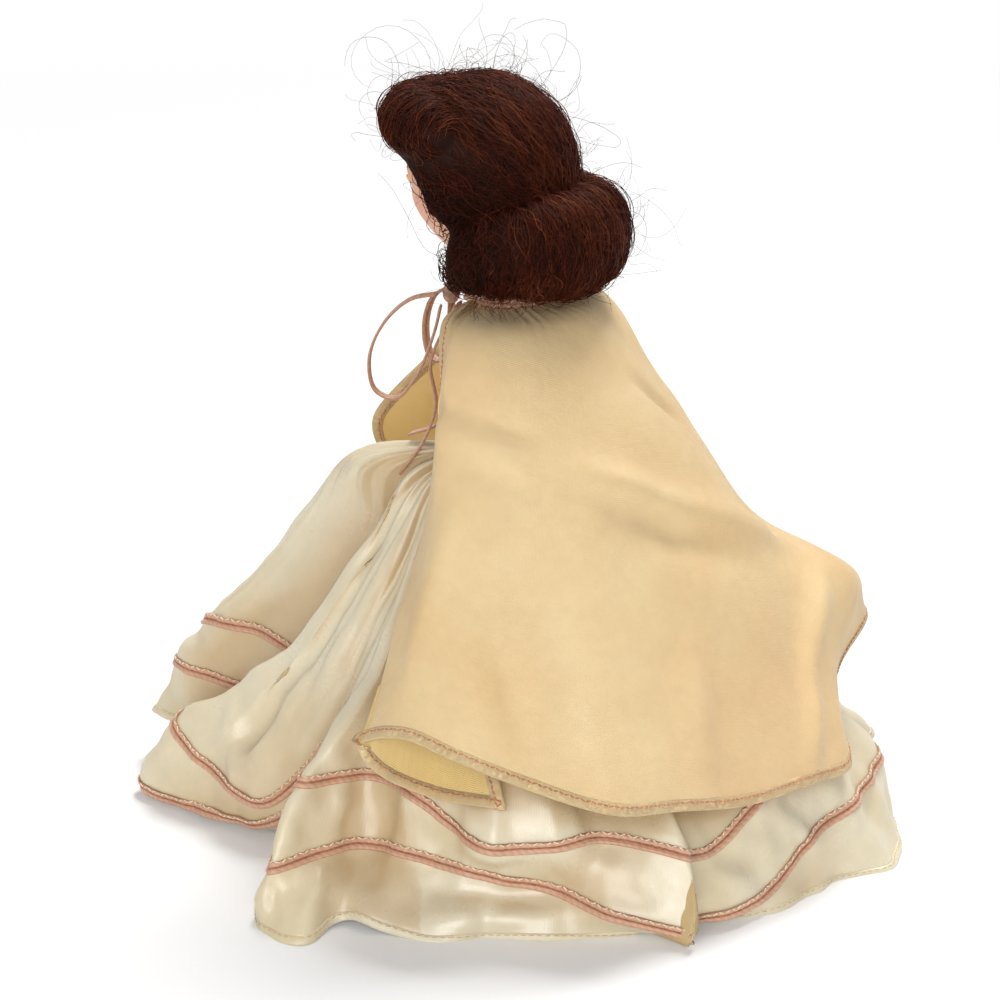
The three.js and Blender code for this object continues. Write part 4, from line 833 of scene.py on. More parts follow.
def markPaintedShade(piece, grid, wrap, around, valleyShade, rays=40, reach=52, seed=31):
    # how far each point of a cloth lies out of the light, felt with rays on every few points; this becomes painted
    # shade in the cloth's colour
    rng = np.random.default_rng(seed)
    rows = np.unique(np.append(np.arange(0, grid.shape[0], 3), grid.shape[0] - 1))
    columns = np.unique(np.append(np.arange(0, grid.shape[1], 4), grid.shape[1] - 1))
    spread3 = unit(rng.normal(0, 1, (rays, 3)))
    normal = gridNormals(grid, wrap)
    hidden = np.zeros((len(rows), len(columns)))
    for a, i in enumerate(rows):
        for b, j in enumerate(columns):
            out = normal[i, j]
            start = Vector(grid[i, j] + out * 0.8)
            met = [around.ray_cast(start, Vector(way), reach)[0] for way in unit(spread3 + out * 1.02)]
            hidden[a, b] = sum(place is not None for place in met) / rays
    across = np.array([np.interp(np.arange(grid.shape[1]), columns, row) for row in hidden])
    full = np.array([np.interp(np.arange(grid.shape[0]), rows, column) for column in across.T]).T
    mark = piece.data.attributes.new("hidden", "FLOAT", "POINT")
    mark.data.foreach_set("value", np.maximum(full, valleyShade * 0.7).reshape(-1).astype(np.float32))


# painted shade: each cloth darkens where cloth around it keeps the light out, and the skirt also deep in its valleys
clothAround = np.concatenate([skirtCloth.reshape(-1, 3), capeCloth.reshape(-1, 3)])
clothFaces = np.concatenate([gridFaces(skirtCloth, True), gridFaces(capeCloth, False) + skirtCloth.size // 3])
clothTree = BVHTree.FromPolygons([Vector(p) for p in clothAround], clothFaces.tolist())
markPaintedShade(skirtPiece, skirtCloth, True, clothTree, valleyDepth(skirtCloth))
markPaintedShade(capePiece, capeCloth, False, clothTree, np.zeros(capeCloth.shape[:2]))
# the cloths now carry painted shade in their folds
print("cloth: faded outside the folds")

edgeLine, edgeIn, edgeOut = capeEdge()
foldedHem = [
    (-0.25, -0.17), (-0.2, 0.06), (0.1, 0.18), (0.8, 0.18), (1.7, 0.12), (2.1, 0.0), (2.1, -0.36), (0.1, -0.66),
    (-0.2, -0.5),
]
capeTrim = [dress(sweep("capeHem", edgeLine, edgeIn, edgeOut, foldedHem), "torso", [taffeta])]
capeStitch = dict(pitch=1.05, length=0.95, radius=0.15, lean=0.3)
for name, lift in (("capeStitches", 0.22), ("capeStitchesInside", -0.62)):
    sewing = stitchRow(name, edgeLine + edgeIn * 1.35, edgeOut, dict(capeStitch, lift=lift))
    capeTrim.append(dress(sewing, "torso", [capeThread]))
print("cape trim: folded hem and its stitching")


# shaping tools, used as by hand
def added(shape, size=(1, 1, 1), **settings):
    # a plain shape, with its place, turn and size taken into its points
    bpy.ops.object.select_all(action="DESELECT")
    shape(**settings)
    piece = bpy.context.active_object
    piece.scale = size
    bpy.ops.object.transform_apply(location=True, rotation=True, scale=True)
    return piece


def ball(centre, half, segments=32, rings=20):
    return added(bpy.ops.mesh.primitive_uv_sphere_add, half, segments=segments, ring_count=rings, radius=mm,
                 location=[value * mm for value in centre])


def joinAll(name, pieces):
    onlySelect(pieces[0])
    for piece in pieces:
        piece.select_set(True)
    if len(pieces) > 1:
        bpy.ops.object.join()
    pieces[0].name = name
    pieces[0].data.name = name
    return pieces[0]


def carve(piece, cutter):
    cut = piece.modifiers.new("cut", "BOOLEAN")
    cut.object = cutter
    cut.operation = "DIFFERENCE"
    onlySelect(piece)
    bpy.ops.object.modifier_apply(modifier=cut.name)
    bpy.data.objects.remove(cutter)


def rod(axis, radius, low, high, level=0.0, sides=64):
    # a round cutting bar along x at a height, or along z
    middle = (low + high) / 2 * mm
    along = axis == "x"
    return added(bpy.ops.mesh.primitive_cylinder_add, vertices=sides, radius=radius * mm, depth=(high - low) * mm,
                 location=(middle, 0, level * mm) if along else (0, 0, middle),
                 rotation=(0, math.pi / 2, 0) if along else (0, 0, 0))


def smoothShade(piece, angle=180):
    onlySelect(piece)
    bpy.ops.object.shade_smooth_by_angle(angle=math.radians(angle))


def loftThrough(name, rings, sides=24, levels=1):
    # rings are (x, y, z, halfWidth, halfDepth): a circle drawn out from ring to ring, closed at both ends
    *centre, wide, deep = rings[0]
    piece = added(bpy.ops.mesh.primitive_circle_add, (wide, deep, 1), vertices=sides, radius=mm, fill_type="NGON",
                  location=[value * mm for value in centre])
    piece.name = name
    bpy.ops.object.mode_set(mode="EDIT")
    bpy.ops.mesh.select_all(action="SELECT")
    for before, after in zip(rings, rings[1:]):
        step = [(b - a) * mm for a, b in zip(before[:3], after[:3])]
        bpy.ops.mesh.extrude_region_move(TRANSFORM_OT_translate={"value": step})
        bpy.ops.transform.resize(value=(after[3] / before[3], after[4] / before[4], 1),
                                 center_override=[value * mm for value in after[:3]])
    bpy.ops.mesh.select_all(action="SELECT")
    bpy.ops.mesh.normals_make_consistent(inside=False)
    bpy.ops.object.mode_set(mode="OBJECT")
    rounder = piece.modifiers.new("round", "SUBSURF")
    rounder.levels = levels
    onlySelect(piece)
    bpy.ops.object.modifier_apply(modifier=rounder.name)
    smoothShade(piece)
    return piece


def pointsOf(piece):
    points = np.empty(len(piece.data.vertices) * 3, np.float32)
    piece.data.vertices.foreach_get("co", points)
    return points.reshape(-1, 3).astype(float) / mm


def movePoints(piece, shape):
    piece.data.vertices.foreach_set("co", (shape * mm).astype(np.float32).reshape(-1))


# painted hard plastic: skin with blush, brows, lashes and lips laid on by place
skin = dict(pale=tint(226, 172, 138), deep=tint(216, 158, 124), blush=tint(214, 112, 92), lip=tint(176, 58, 58),
            brow=tint(94, 54, 36), lash=tint(58, 34, 26), shoe=tint(58, 44, 40))


def hump(wire, centre, wide):
    # 1 at the centre, falling away softly on both sides
    away = (wire - centre) / wide
    return (away * away * -1.0).maths("EXPONENT")


def inside(wire, low, high, soft):
    # 1 between two limits, with soft edges
    return spread(wire, low, low + soft) * spread(wire, high, high - soft)


def plasticFinish(name, face=False, shoes=False):
    material, shader, start = newFinish(name)
    where = objectPlace(start)
    mottle = spread(grain(start, where, 130.0, 3.0), 0.3, 0.7)
    fine = grain(start, where, 1400.0, 2.0)
    colour = blended(mottle, skin["pale"], skin["deep"])
    rough = mottle * 0.08 + 0.36
    x, y, z = [part / mm for part in parts(where)]
    if shoes:
        shoe = inside(z, -9.0, 5.2, 0.25)
        colour = blended(shoe, colour, skin["shoe"])
        rough = rough - shoe * 0.12
    if face:
        side = x.maths("ABSOLUTE")
        front = inside(y, -60.0, -8.0, 1.0)
        colour = blended(hump(side, 7.6, 3.0) * hump(z, 124.6, 3.0) * front * 0.55, colour, skin["blush"])
        arch = z - (135.9 - ((side - 5.6) / 3.4) ** 2.0 * 0.9)
        hairs = ((side * 9.0 + z * 6.0).maths("SINE") * 0.3 + 0.7)
        colour = blended(inside(arch, -0.34, 0.34, 0.22) * inside(side, 2.6, 8.6, 0.8) * front * hairs * 0.85,
                         colour, skin["brow"])
        fan = z - (132.75 - ((side - 5.2) / 2.75) ** 2.0 * 1.75)
        strokes = spread(((side - 5.2) * 8.4).maths("SINE"), -0.1, 0.5)
        lashLine = inside(fan, -0.1, 0.22, 0.1) * inside(side, 2.4, 8.1, 0.3) * front * 0.95
        colour = blended(lashLine, colour, skin["lash"])
        colour = blended(inside(fan, 0.1, 1.25, 0.5) * inside(side, 2.9, 8.3, 0.5) * strokes * front * 0.8,
                         colour, skin["lash"])
        below = z - (129.75 + ((side - 5.2) / 2.75) ** 2.0 * 1.3)
        colour = blended(inside(below, -0.85, -0.1, 0.3) * inside(side, 3.2, 7.6, 0.5) * strokes * front * 0.45,
                         colour, skin["lash"])
        bowShape = 0.75 - (side / 2.5) ** 2.0 * 0.75 - hump(x, 0.0, 0.35) * 0.28
        upper = inside(z - 122.7 - bowShape * 1.25, -4.0, 0.0, 0.2) * inside(z, 122.7, 130.0, 0.05)
        lower = inside(z - 122.7 + (0.8 - (side / 2.1) ** 2.0 * 0.8) * 1.35, 0.0, 4.0, 0.2)
        lower = lower * inside(z, 110.0, 122.75, 0.05)
        lips = (upper + lower).maths("MINIMUM", 1.0) * inside(side, -1.0, 2.4, 0.3) * front
        colour = blended(lips * 0.9, colour, skin["lip"])
        rough = rough - lips * 0.1
    plugIn(material.node_tree, shader, {
        "Base Color": colour, "Roughness": rough, "Normal": bumped(fine, 0.00002, 0.4),
        "Subsurface Weight": 0.06, "Subsurface Radius": (0.004, 0.002, 0.001), "Specular IOR Level": 0.45,
    })
    return material


skinPlastic = plasticFinish("skinPlastic")
facePlastic = plasticFinish("facePlastic", face=True)
legPlastic = plasticFinish("legPlastic", shoes=True)
for node in ("leg_left", "leg_right"):
    frame["nodes"][node].data.materials[0] = legPlastic


# head: a rounded skull with cheeks, nose, lips, chin and lids round the eyes
head = dict(centre=(0, -5, 130), half=(13.5, 14, 16.5), segments=256, rings=168, eye=(5.2, -15.62, 130.99),
            eyeRadius=2.9, lidRadius=3.34, opening=(2.75, 1.75, 1.3), neck=(5.1, 104.9, 121))


def shapedHead():
    piece = ball((0, 0, 0), (1, 1, 1), head["segments"], head["rings"])
    p = pointsOf(piece)
    turn = np.arctan2(p[:, 0], -p[:, 1])
    ring = np.hypot(p[:, 0], p[:, 1])
    turn = turn - 0.45 * np.sin(turn)
    x, y, z = ring * np.sin(turn), -ring * np.cos(turn), p[:, 2]
    front = np.maximum(-y, 0)
    side = np.abs(x)
    jaw = 1 - 0.2 * np.maximum(-z, 0) ** 2
    cheek = 1 + 0.05 * front * softHump(z, -0.32, 0.24)
    ridge = 0.115 * softHump(z, -0.15, 0.085) + 0.035 * softHump(z, 0.02, 0.13)
    nose = front * softHump(x, 0, 0.085) * ridge
    nostril = front * softHump(side, 0.075, 0.05) * softHump(z, -0.17, 0.06) * 0.035
    upperLip = front * softHump(x, 0, 0.15) * softHump(z, -0.4, 0.045) * 0.032
    lowerLip = front * softHump(x, 0, 0.12) * softHump(z, -0.485, 0.05) * 0.036
    mouth = front * softHump(x, 0, 0.17) * softHump(z, -0.443, 0.016) * 0.02
    chin = front * softHump(x, 0, 0.2) * softHump(z, -0.72, 0.13) * 0.065
    brow = front * softHump(side, 0.4, 0.25) * softHump(z, 0.3, 0.12) * 0.012
    socket = front * softHump(side, 0.39, 0.22) * softHump(z, 0.07, 0.2) * 0.02
    out = jaw * cheek + nose + nostril + upperLip + lowerLip - mouth + chin + brow - socket
    shape = np.stack([x * jaw * cheek, y * out, z], axis=1) * head["half"] + head["centre"]
    eyeX, eyeY, eyeZ = head["eye"]
    wide, above, below = head["opening"]
    across, up = np.abs(shape[:, 0]) - eyeX, shape[:, 2] - eyeZ
    facing = shape[:, 1] < -9
    away = head["lidRadius"] ** 2 - across**2 - up**2
    lid = eyeY - np.sqrt(np.maximum(away, 0))
    blend = np.clip((shape[:, 1] - lid) / 0.5 + 0.5, 0, 1)
    lidded = shape[:, 1] + (lid - shape[:, 1]) * blend - 0.25 * blend * (1 - blend)
    shape[:, 1] = np.where(facing & (away > 0), lidded, shape[:, 1])
    curve = 1 - (across / wide) ** 2
    inner = np.minimum(above * curve - up, up + below * curve)
    open_ = np.clip((inner + 0.1) / 0.28, 0, 1)
    open_ = open_ * open_ * (3 - 2 * open_)
    deep = eyeY + 0.5
    sunk = shape[:, 1] + (deep - shape[:, 1]) * open_ * (shape[:, 1] < deep)
    shape[:, 1] = np.where(facing, sunk, shape[:, 1])
    movePoints(piece, shape)
    radius, low, high = head["neck"]
    rings = [
        (0, 0, low, radius - 0.4, radius - 0.4), (0, 0, low + 0.4, radius, radius), (0, 0, low + 4, radius, radius),
        (0, -0.6, high - 8, radius + 0.1, radius + 0.1), (0, -2, high, radius + 1.6, radius + 1.2),
    ]
    piece = joinAll("headPlastic", [piece, loftThrough("throat", rings, levels=2)])
    smoothShade(piece)
    return piece


dress(shapedHead(), "head", [facePlastic], ["head_face", "head_back"])


def eyeFinish():
    material, shader, start = newFinish("glassEye")
    where = objectPlace(start)
    x, y, z = [part / mm for part in parts(where)]
    eyeX, eyeY, eyeZ = head["eye"]
    across, back, up = x.maths("ABSOLUTE") - eyeX, y - eyeY, z - eyeZ
    ring = (across * across + up * up) ** 0.5
    spokes = (up.maths("ARCTAN2", across) * 26.0).maths("SINE")
    flecks = grain(start, where, 2600.0, 3.0)
    iris = blended(spokes * 0.25 + flecks * 0.6, tint(112, 72, 40), tint(58, 34, 20))
    iris = blended(inside(ring, 1.14, 4.0, 0.16), iris, tint(32, 20, 14))
    white = blended(flecks * 0.4, tint(236, 230, 220), tint(226, 214, 202))
    front = inside(back, -9.0, 0.0, 0.3)
    colour = blended(inside(ring, -1.0, 1.36, 0.1) * front, white, iris)
    colour = blended(inside(ring, -1.0, 0.6, 0.08) * front, colour, tint(12, 9, 8))
    lid = inside(up * 0.788 + back * 0.616, 0.0, 9.0, 0.12)
    colour = blended(lid, colour, skin["deep"])
    plugIn(material.node_tree, shader, {
        "Base Color": colour, "Roughness": lid * 0.3 + flecks * 0.04 + 0.06, "Coat Weight": (1 - lid) * 0.8,
        "Coat Roughness": 0.03, "Normal": bumped(flecks, 0.000004, 0.3),
    })
    return material


glassEye = eyeFinish()
for sideName, sign in (("Left", 1), ("Right", -1)):
    eyeX, eyeY, eyeZ = head["eye"]
    eye = joinAll("eye" + sideName, [ball((sign * eyeX, eyeY, eyeZ), (head["eyeRadius"],) * 3, 64, 40)])
    smoothShade(eye)
    dress(eye, "eyes", [glassEye], ["eye_" + sideName.lower()])
print("head: face, throat and two eyes")


# trunk and arms, drawn out ring by ring
body = dict(
    trunk=[(59.6, 5, 5.6), (60.4, 6.6, 6.8), (62.75, 9.4, 8), (69.85, 10.5, 8.5), (77, 9.6, 7.6), (87.1, 11.4, 8.2),
           (95, 12.1, 8.4), (100.9, 12, 7.7), (104.05, 10.1, 7.1), (106, 7.2, 6.6), (106.5, 6.8, 6.4)],
    armX=16.8, shoulderZ=99.5, armRadius=4.3,
    arm=[(-4.2, 0, 0, 0.25, 0.25), (-3.66, 0, 0, 0.62, 0.62), (-1.5, 0, 0, 0.97, 0.95), (1.5, 0, 0, 1, 1),
         (7, 0.9, 0.1, 0.92, 0.94), (11.7, 1.84, 0.3, 0.84, 0.88), (16.75, 2.53, 0.6, 0.76, 0.8),
         (20.8, 3.04, 0.2, 0.78, 0.8), (26.2, 4.0, -1.3, 0.54, 0.58), (28.4, 4.32, -1.9, 0.5, 0.66),
         (31, 4.6, -2.8, 0.42, 0.7), (33, 4.6, -3.2, 0.3, 0.5), (33.5, 4.6, -3.3, 0.16, 0.3)],
    thumb=((3.6, -4.4, 29.2), (0.85, 0.95, 2.1)), wall=1.6, hollow=(62, 102.4), slotTop=74, neckSeat=(5.5, 104.4, 112),
    neckHole=3.6, wireHole=0.8, wireFrom=(4, 2), armSeat=12.2, legSeat=6.4, hipZ=66, hipRoom=7.1, cut=30, beyond=40,
)


def trunkShell():
    # hollow, with a seat for the neck, flats and holes for the arms, and arches for the legs
    outside = [(0, 0, z, wide, deep) for z, wide, deep in body["trunk"]]
    shell = loftThrough("trunkPlastic", outside, sides=32, levels=2)
    table = np.array(body["trunk"])
    rings = []
    for z in np.linspace(*body["hollow"], 9):
        wide, deep = [np.interp(z, table[:, 0], table[:, k]) - body["wall"] for k in (1, 2)]
        if z < body["slotTop"]:
            wide = min(wide, body["legSeat"] - body["wall"])
        rings.append((0, 0, z, wide, deep))
    carve(shell, loftThrough("hollow", rings, sides=32))
    radius, floor, above = body["neckSeat"]
    carve(shell, rod("z", radius, floor, above))
    carve(shell, rod("z", body["neckHole"], floor - 6, floor + 1))
    arm, leg, cut = body["shoulderZ"], body["hipZ"], body["cut"]
    holes = [
        (body["wireHole"], body["wireFrom"][0], arm), (body["wireHole"], body["wireFrom"][1], leg),
        (body["hipRoom"], body["legSeat"], leg), (cut, body["armSeat"], arm), (cut, body["legSeat"], leg - cut),
    ]
    for sign in (-1, 1):
        for hole, start, level in holes:
            carve(shell, rod("x", hole, *sorted((sign * start, sign * body["beyond"])), level))
    smoothShade(shell, 35)
    return joinAll("trunkPlastic", [shell])


dress(trunkShell(), "torso", [skinPlastic], ["torso_front", "torso_back"])


def shapedArm(sideName, sign):
    rings = []
    for drop, out, back, wide, deep in body["arm"]:
        rings.append((sign * (body["armX"] + out), back, body["shoulderZ"] - drop,
                      wide * body["armRadius"], deep * body["armRadius"]))
    arm = loftThrough("arm" + sideName, rings, sides=20, levels=2)
    (out, back, drop), half = body["thumb"]
    thumb = ball((sign * (body["armX"] + out), back, body["shoulderZ"] - drop), half, 20, 14)
    arm = joinAll("arm" + sideName, [arm, thumb])
    smoothShade(arm)
    return arm


for sideName, sign in (("Left", 1), ("Right", -1)):
    label = sideName.lower()
    dress(shapedArm(sideName, sign), label + "_arm", [skinPlastic], ["arm_" + label])
print("body: trunk and arms")


# collar ribbon round the neck and the bow's knot
def collarBand():
    turns = np.linspace(0, 360, 180, endpoint=False)
    radii = np.array([collarRadius(turn) - 0.55 for turn in turns])
    line = polar(turns, radii, bow["z"])
    across = np.repeat([[0.0, 0.0, 1.0]], len(line), axis=0)
    normal = unit(np.cross(headings(line, closed=True), across))
    band = [(a * 0.95, out * 1.9) for a, out in ribbonProfile]
    return sweep("collarRibbon", line, across, normal, band, closed=True)


dress(collarBand(), "torso", [ribbonBraid], ["collar_ribbon"])


def tiedKnot():
    centre = polar(bow["turn"], bow["radius"], bow["z"])
    piece = ball((0, 0, 0), (1, 1, 1), 48, 28)
    p = pointsOf(piece)
    angle = np.arctan2(p[:, 2], p[:, 0])
    pinch = 1 - 0.2 * softHump(np.abs(p[:, 0]), 0.5, 0.14) + 0.05 * np.cos(5 * angle)
    p = p * pinch[:, None] * (bow["knot"] * 1.02, bow["knot"] * 0.86, bow["knot"] * 1.06)
    out, along = polar(bow["turn"], 1, 0), polar(bow["turn"] + 90, 1, 0)
    shape = centre + p[:, :1] * along - p[:, 1:2] * out + p[:, 2:] * (0, 0, 1)
    movePoints(piece, shape)
    knot = joinAll("bowKnot", [piece])
    turnOutwards(knot)
    smoothShade(knot)
    return knot


dress(tiedKnot(), "torso", [ribbonBraid], ["bow_knot"])
print("collar: ribbon and knot")


# bodice: satin close to the trunk, bound round the neck and armholes, gathered a little at the waist
bodice = dict(low=77.4, high=101.4, ease=0.85, armhole=6.7, armholeArc=(163, 377), inside=5.5, rows=56, columns=168,
              cloth=0.3, binding=0.42, snap=0.26, armSide=12.4, waistPoints=220, neckPoints=60)


def bodiceGrid():
    heights = np.linspace(bodice["high"], bodice["low"], bodice["rows"])
    table = np.array(body["trunk"])
    wide = np.interp(heights, table[:, 0], table[:, 1]) + bodice["ease"]
    deep = np.interp(heights, table[:, 0], table[:, 2]) + bodice["ease"]
    turns = np.radians(np.linspace(0, 360, bodice["columns"], endpoint=False))
    x, y = wide[:, None] * np.sin(turns), -deep[:, None] * np.cos(turns)
    grid = np.stack(np.broadcast_arrays(x, y, heights[:, None]), -1)
    share = (bodice["high"] - heights[:, None]) / (bodice["high"] - bodice["low"])
    gathers = np.cos(turns[None] * 28 + 1.5 * share) * 0.14 * share**2 + np.cos(turns[None] * 17) * 0.1 * share
    return grid + gridNormals(grid, True) * (gathers + noiseOver(grid, 0.3, 9) * 0.16)[..., None]


def cutArmholes(piece):
    # the points nearest the round line are drawn onto it before what lies inside is taken out
    round_, level = bodice["armhole"], body["shoulderZ"]
    for point in piece.data.vertices:
        x, y, z = point.co / mm
        away = math.hypot(y, z - level)
        if abs(x) > bodice["inside"] and abs(away - round_) < bodice["snap"]:
            point.co = Vector((x, y * round_ / away, level + (z - level) * round_ / away)) * mm
    onlySelect(piece)
    bpy.ops.object.mode_set(mode="EDIT")
    bpy.ops.mesh.select_all(action="DESELECT")
    bpy.ops.object.mode_set(mode="OBJECT")
    for face in piece.data.polygons:
        x, y, z = face.center / mm
        face.select = abs(x) > bodice["inside"] and math.hypot(y, z - level) < round_
    bpy.ops.object.mode_set(mode="EDIT")
    bpy.ops.mesh.delete(type="FACE")
    bpy.ops.object.mode_set(mode="OBJECT")


def boundEdge(name, line):
    forward = headings(line)
    across = unit(np.cross(forward, unit(line * (1, 1, 0))))
    angles = np.linspace(0, 2 * math.pi, 10, endpoint=False)
    profile = np.stack([np.cos(angles), np.sin(angles)], axis=1) * bodice["binding"]
    return sweep(name, line, across, unit(np.cross(across, forward)), profile)


bodiceCloth = bodiceGrid()
bodicePiece = gridObject("bodiceCloth", bodiceCloth, True)
cutArmholes(bodicePiece)
thicken(bodicePiece, bodice["cloth"])
dress(bodicePiece, "torso", [satin, satinInsideShaded], ["bodice"])
bodiceTrim = []
waistLine = evenly(bodiceCloth[-1] + (0, 0, 0.5), bodice["waistPoints"], closed=True)
waistOut = unit(waistLine * (1, 1, 0))
waistUp = np.repeat([[0.0, 0.0, 1.0]], len(waistLine), axis=0)
waistBand = [(-1.1, -0.2), (-1.15, 0.25), (-0.95, 0.52), (0.0, 0.58), (0.95, 0.5), (1.15, 0.22), (1.1, -0.2)]
waistStitch = dict(hemStitch, lift=0.52, radius=0.08)
bodiceTrim.append(sweep("bodiceWaistBand", waistLine, waistUp, waistOut, waistBand, closed=True))
for label, rise in (("Upper", 0.72), ("Lower", -0.72)):
    sewing = stitchRow("waistStitches" + label, waistLine + waistUp * rise, waistOut, waistStitch, closed=True)
    dress(sewing, "torso", [hemThread])
tree = gridTree(bodiceCloth, True)
for sideName, sign in (("Left", 1), ("Right", -1)):
    angles = np.radians(np.linspace(*bodice["armholeArc"], 90))
    ring = []
    for angle in angles:
        y, z = bodice["armhole"] * math.cos(angle), body["shoulderZ"] + bodice["armhole"] * math.sin(angle)
        ring.append(tree.find_nearest(Vector((sign * bodice["armSide"], y, z)))[0][:])
    bodiceTrim.append(boundEdge("bodiceArmhole" + sideName, np.array(ring)))
top = bodiceCloth[0]
for label, facing in (("Front", -1), ("Back", 1)):
    clear = np.hypot(top[:, 1], bodice["high"] - body["shoulderZ"]) >= bodice["armhole"] - 0.4
    keep = top[(top[:, 1] * facing > 0) & clear]
    edge = evenly(keep[np.argsort(keep[:, 0])], bodice["neckPoints"])
    bodiceTrim.append(boundEdge("bodiceNeck" + label, edge))
for piece in bodiceTrim:
    dress(piece, "torso", [satin])
print("bodice: shell and bindings")


# petticoat: a plain cotton cone, gathered at the top, with a stitched hem
petticoat = dict(top=73.8, hip=66, low=8.2, inset=0.35, rows=(12, 60), columns=300, waves=(36, 41, 53), seed=17,
                 cloth=0.25, hemPoints=400)


def petticoatGrid():
    upper, lower = petticoat["rows"]
    heights = np.concatenate([np.linspace(petticoat["top"], petticoat["hip"], upper, endpoint=False),
                              np.linspace(petticoat["hip"], petticoat["low"], lower)])
    u = np.linspace(0, 1, petticoat["columns"], endpoint=False)
    uu, hh = np.meshgrid(u, heights)
    share = (petticoat["top"] - hh) / (petticoat["top"] - petticoat["low"])
    rng = np.random.default_rng(petticoat["seed"])
    waves = ripples(uu, share, petticoat["waves"], 1.5, rng) * (0.25 + 0.5 * share)
    radius = petticoatRadius(hh) - petticoat["inset"] - 0.6 * share - np.abs(waves)
    return polar(uu * 360, radius, hh)


petticoatCloth = petticoatGrid()
petticoatPiece = thicken(gridObject("petticoatCloth", petticoatCloth, True), petticoat["cloth"], lining=False)
dress(petticoatPiece, "torso", [cotton], ["petticoat"])
line = evenly(petticoatCloth[-3], petticoat["hemPoints"], closed=True)
facing = unit(line * (1, 1, 0) + (0, 0, 10))
petticoatSewing = stitchRow("petticoatStitches", line, facing, dict(hemStitch, lift=0.1), closed=True)
dress(petticoatSewing, "torso", [hemThread])
print("petticoat: cone and hem stitches")


# dressed hair: crown, front roll and page-boy roll as one mass, then strands combed along it
hair = dict(
    crown=((0, -6, 131), (17.2, 17.8, 18)), skull=((0, -5, 130), (14.6, 15.1, 17.6)),
    face=[((0, -20, 125.4), (24, 16.5, 14)), ((0, -17.5, 119.8), (24, 18.5, 12.4))],
    front=dict(turns=(-66, 0, 66), path=(15.2, 15.4, 15.2), z=(140.6, 140.9, 140.6), thick=(6, 6.2, 6),
               tall=(5.7, 5.7, 5.7), middle=-3.2, balls=17),
    back=dict(turns=(72, 94, 122, 160, 200, 240, 266, 288), path=(10.6, 13.4, 15.4, 17, 17.2, 16.2, 13.6, 10.6),
              z=(116, 118.2, 119.8, 120, 120, 119.8, 118.2, 116), thick=(3.6, 4.8, 5.8, 6.8, 6.9, 6.2, 4.9, 3.6),
              tall=(3.9, 6.1, 8.1, 9.3, 9.5, 8.3, 6.3, 3.9), middle=-2.4, balls=29),
    cap=(14.3, 14.8, 17.3), capLow=117, voxel=0.85, strands=7600, steps=12, length=(6, 13), thick=(0.07, 0.12),
    loose=dict(count=1300, above=109.5, between=(112, 160), steps=16, long=(2.5, 20), looped=0.035, loop=(24, 36),
               thick=(0.024, 0.042)),
    wisps=dict(count=64, steps=12, turns=(88, 272), usual=(116, 9), often=0.65, long=(3.5, 7.5), thick=(0.035, 0.06)),
    seed=23,
)


def rollAt(roll, turn, what):
    return np.interp(turn, roll["turns"], roll[what])


def rollPlace(roll, turn):
    angle, path = np.radians(turn), rollAt(roll, turn, "path")
    return np.stack([path * np.sin(angle), roll["middle"] - path * np.cos(angle), rollAt(roll, turn, "z")], -1)


def hairMass():
    balls = [ball(*hair["crown"], 48, 32)]
    for roll in (hair["front"], hair["back"]):
        for k, turn in enumerate(np.linspace(roll["turns"][0], roll["turns"][-1], roll["balls"])):
            swell = 1 + 0.05 * math.sin(2.3 * k)
            thick, tall = rollAt(roll, turn, "thick") * swell, rollAt(roll, turn, "tall") * swell
            balls.append(ball(rollPlace(roll, turn), (thick, thick, tall), 20, 14))
    mass = joinAll("hairMass", balls)
    mass.data.remesh_voxel_size = hair["voxel"] * mm
    onlySelect(mass)
    bpy.ops.object.voxel_remesh()
    relax = mass.modifiers.new("relax", "SMOOTH")
    relax.iterations = 9
    bpy.ops.object.modifier_apply(modifier=relax.name)
    return mass


def flowAt(p, rng, loose):
    # the way the hair is combed at each point
    gaps, ways = [], []
    for roll, sense in ((hair["front"], -1), (hair["back"], 1)):
        turn = np.degrees(np.arctan2(p[:, 0], roll["middle"] - p[:, 1]))
        turn = np.clip(turn % 360 if sense > 0 else turn, roll["turns"][0], roll["turns"][-1])
        away = p - rollPlace(roll, turn)
        thick, tall = rollAt(roll, turn, "thick"), rollAt(roll, turn, "tall")
        along = np.stack([np.cos(np.radians(turn)), np.sin(np.radians(turn)), 0 * turn], -1)
        gaps.append(np.abs(np.linalg.norm(away / np.stack([thick, thick, tall], -1), axis=1) - 1) * thick)
        ways.append(unit(np.cross(along, away) * sense))
    centre, half = np.array(hair["crown"][0]), np.array(hair["crown"][1])
    gapC = np.abs(np.linalg.norm((p - centre) / half, axis=1) - 1) * 17
    ways.append(np.tile(unit(np.array([0.0, 1.0, -0.6])), (len(p), 1)))
    weights = np.exp(-np.stack([*gaps, gapC], 1) / 0.7)
    weights /= weights.sum(axis=1, keepdims=True) + 1e-9
    flow = sum(weights[:, k : k + 1] * way for k, way in enumerate(ways))
    return flow + rng.normal(0, 1, p.shape) * loose[:, None]


def clearOfFace(p):
    # the forehead and the cheeks stay bare
    least = np.full(len(p), np.inf)
    for centre, half in hair["face"]:
        away = (p - centre) / np.array(half)
        size = np.linalg.norm(away, axis=1)
        pushed = centre + away / np.maximum(size, 1e-6)[:, None] * half
        p = np.where((size < 1)[:, None], pushed, p)
        least = np.minimum(least, size)
    return p, least


def seedsOn(mesh, count, rng):
    mesh.calc_loop_triangles()
    corners = np.array([tri.vertices[:] for tri in mesh.loop_triangles])
    points = np.array([v.co[:] for v in mesh.vertices]) / mm
    a, b, c = [points[corners[:, k]] for k in range(3)]
    area = np.linalg.norm(np.cross(b - a, c - a), axis=1)
    pick = rng.choice(len(corners), count, p=area / area.sum())
    s, t = rng.random(count) ** 0.5, rng.random(count)
    return (1 - s)[:, None] * a[pick] + (s * (1 - t))[:, None] * b[pick] + (s * t)[:, None] * c[pick]


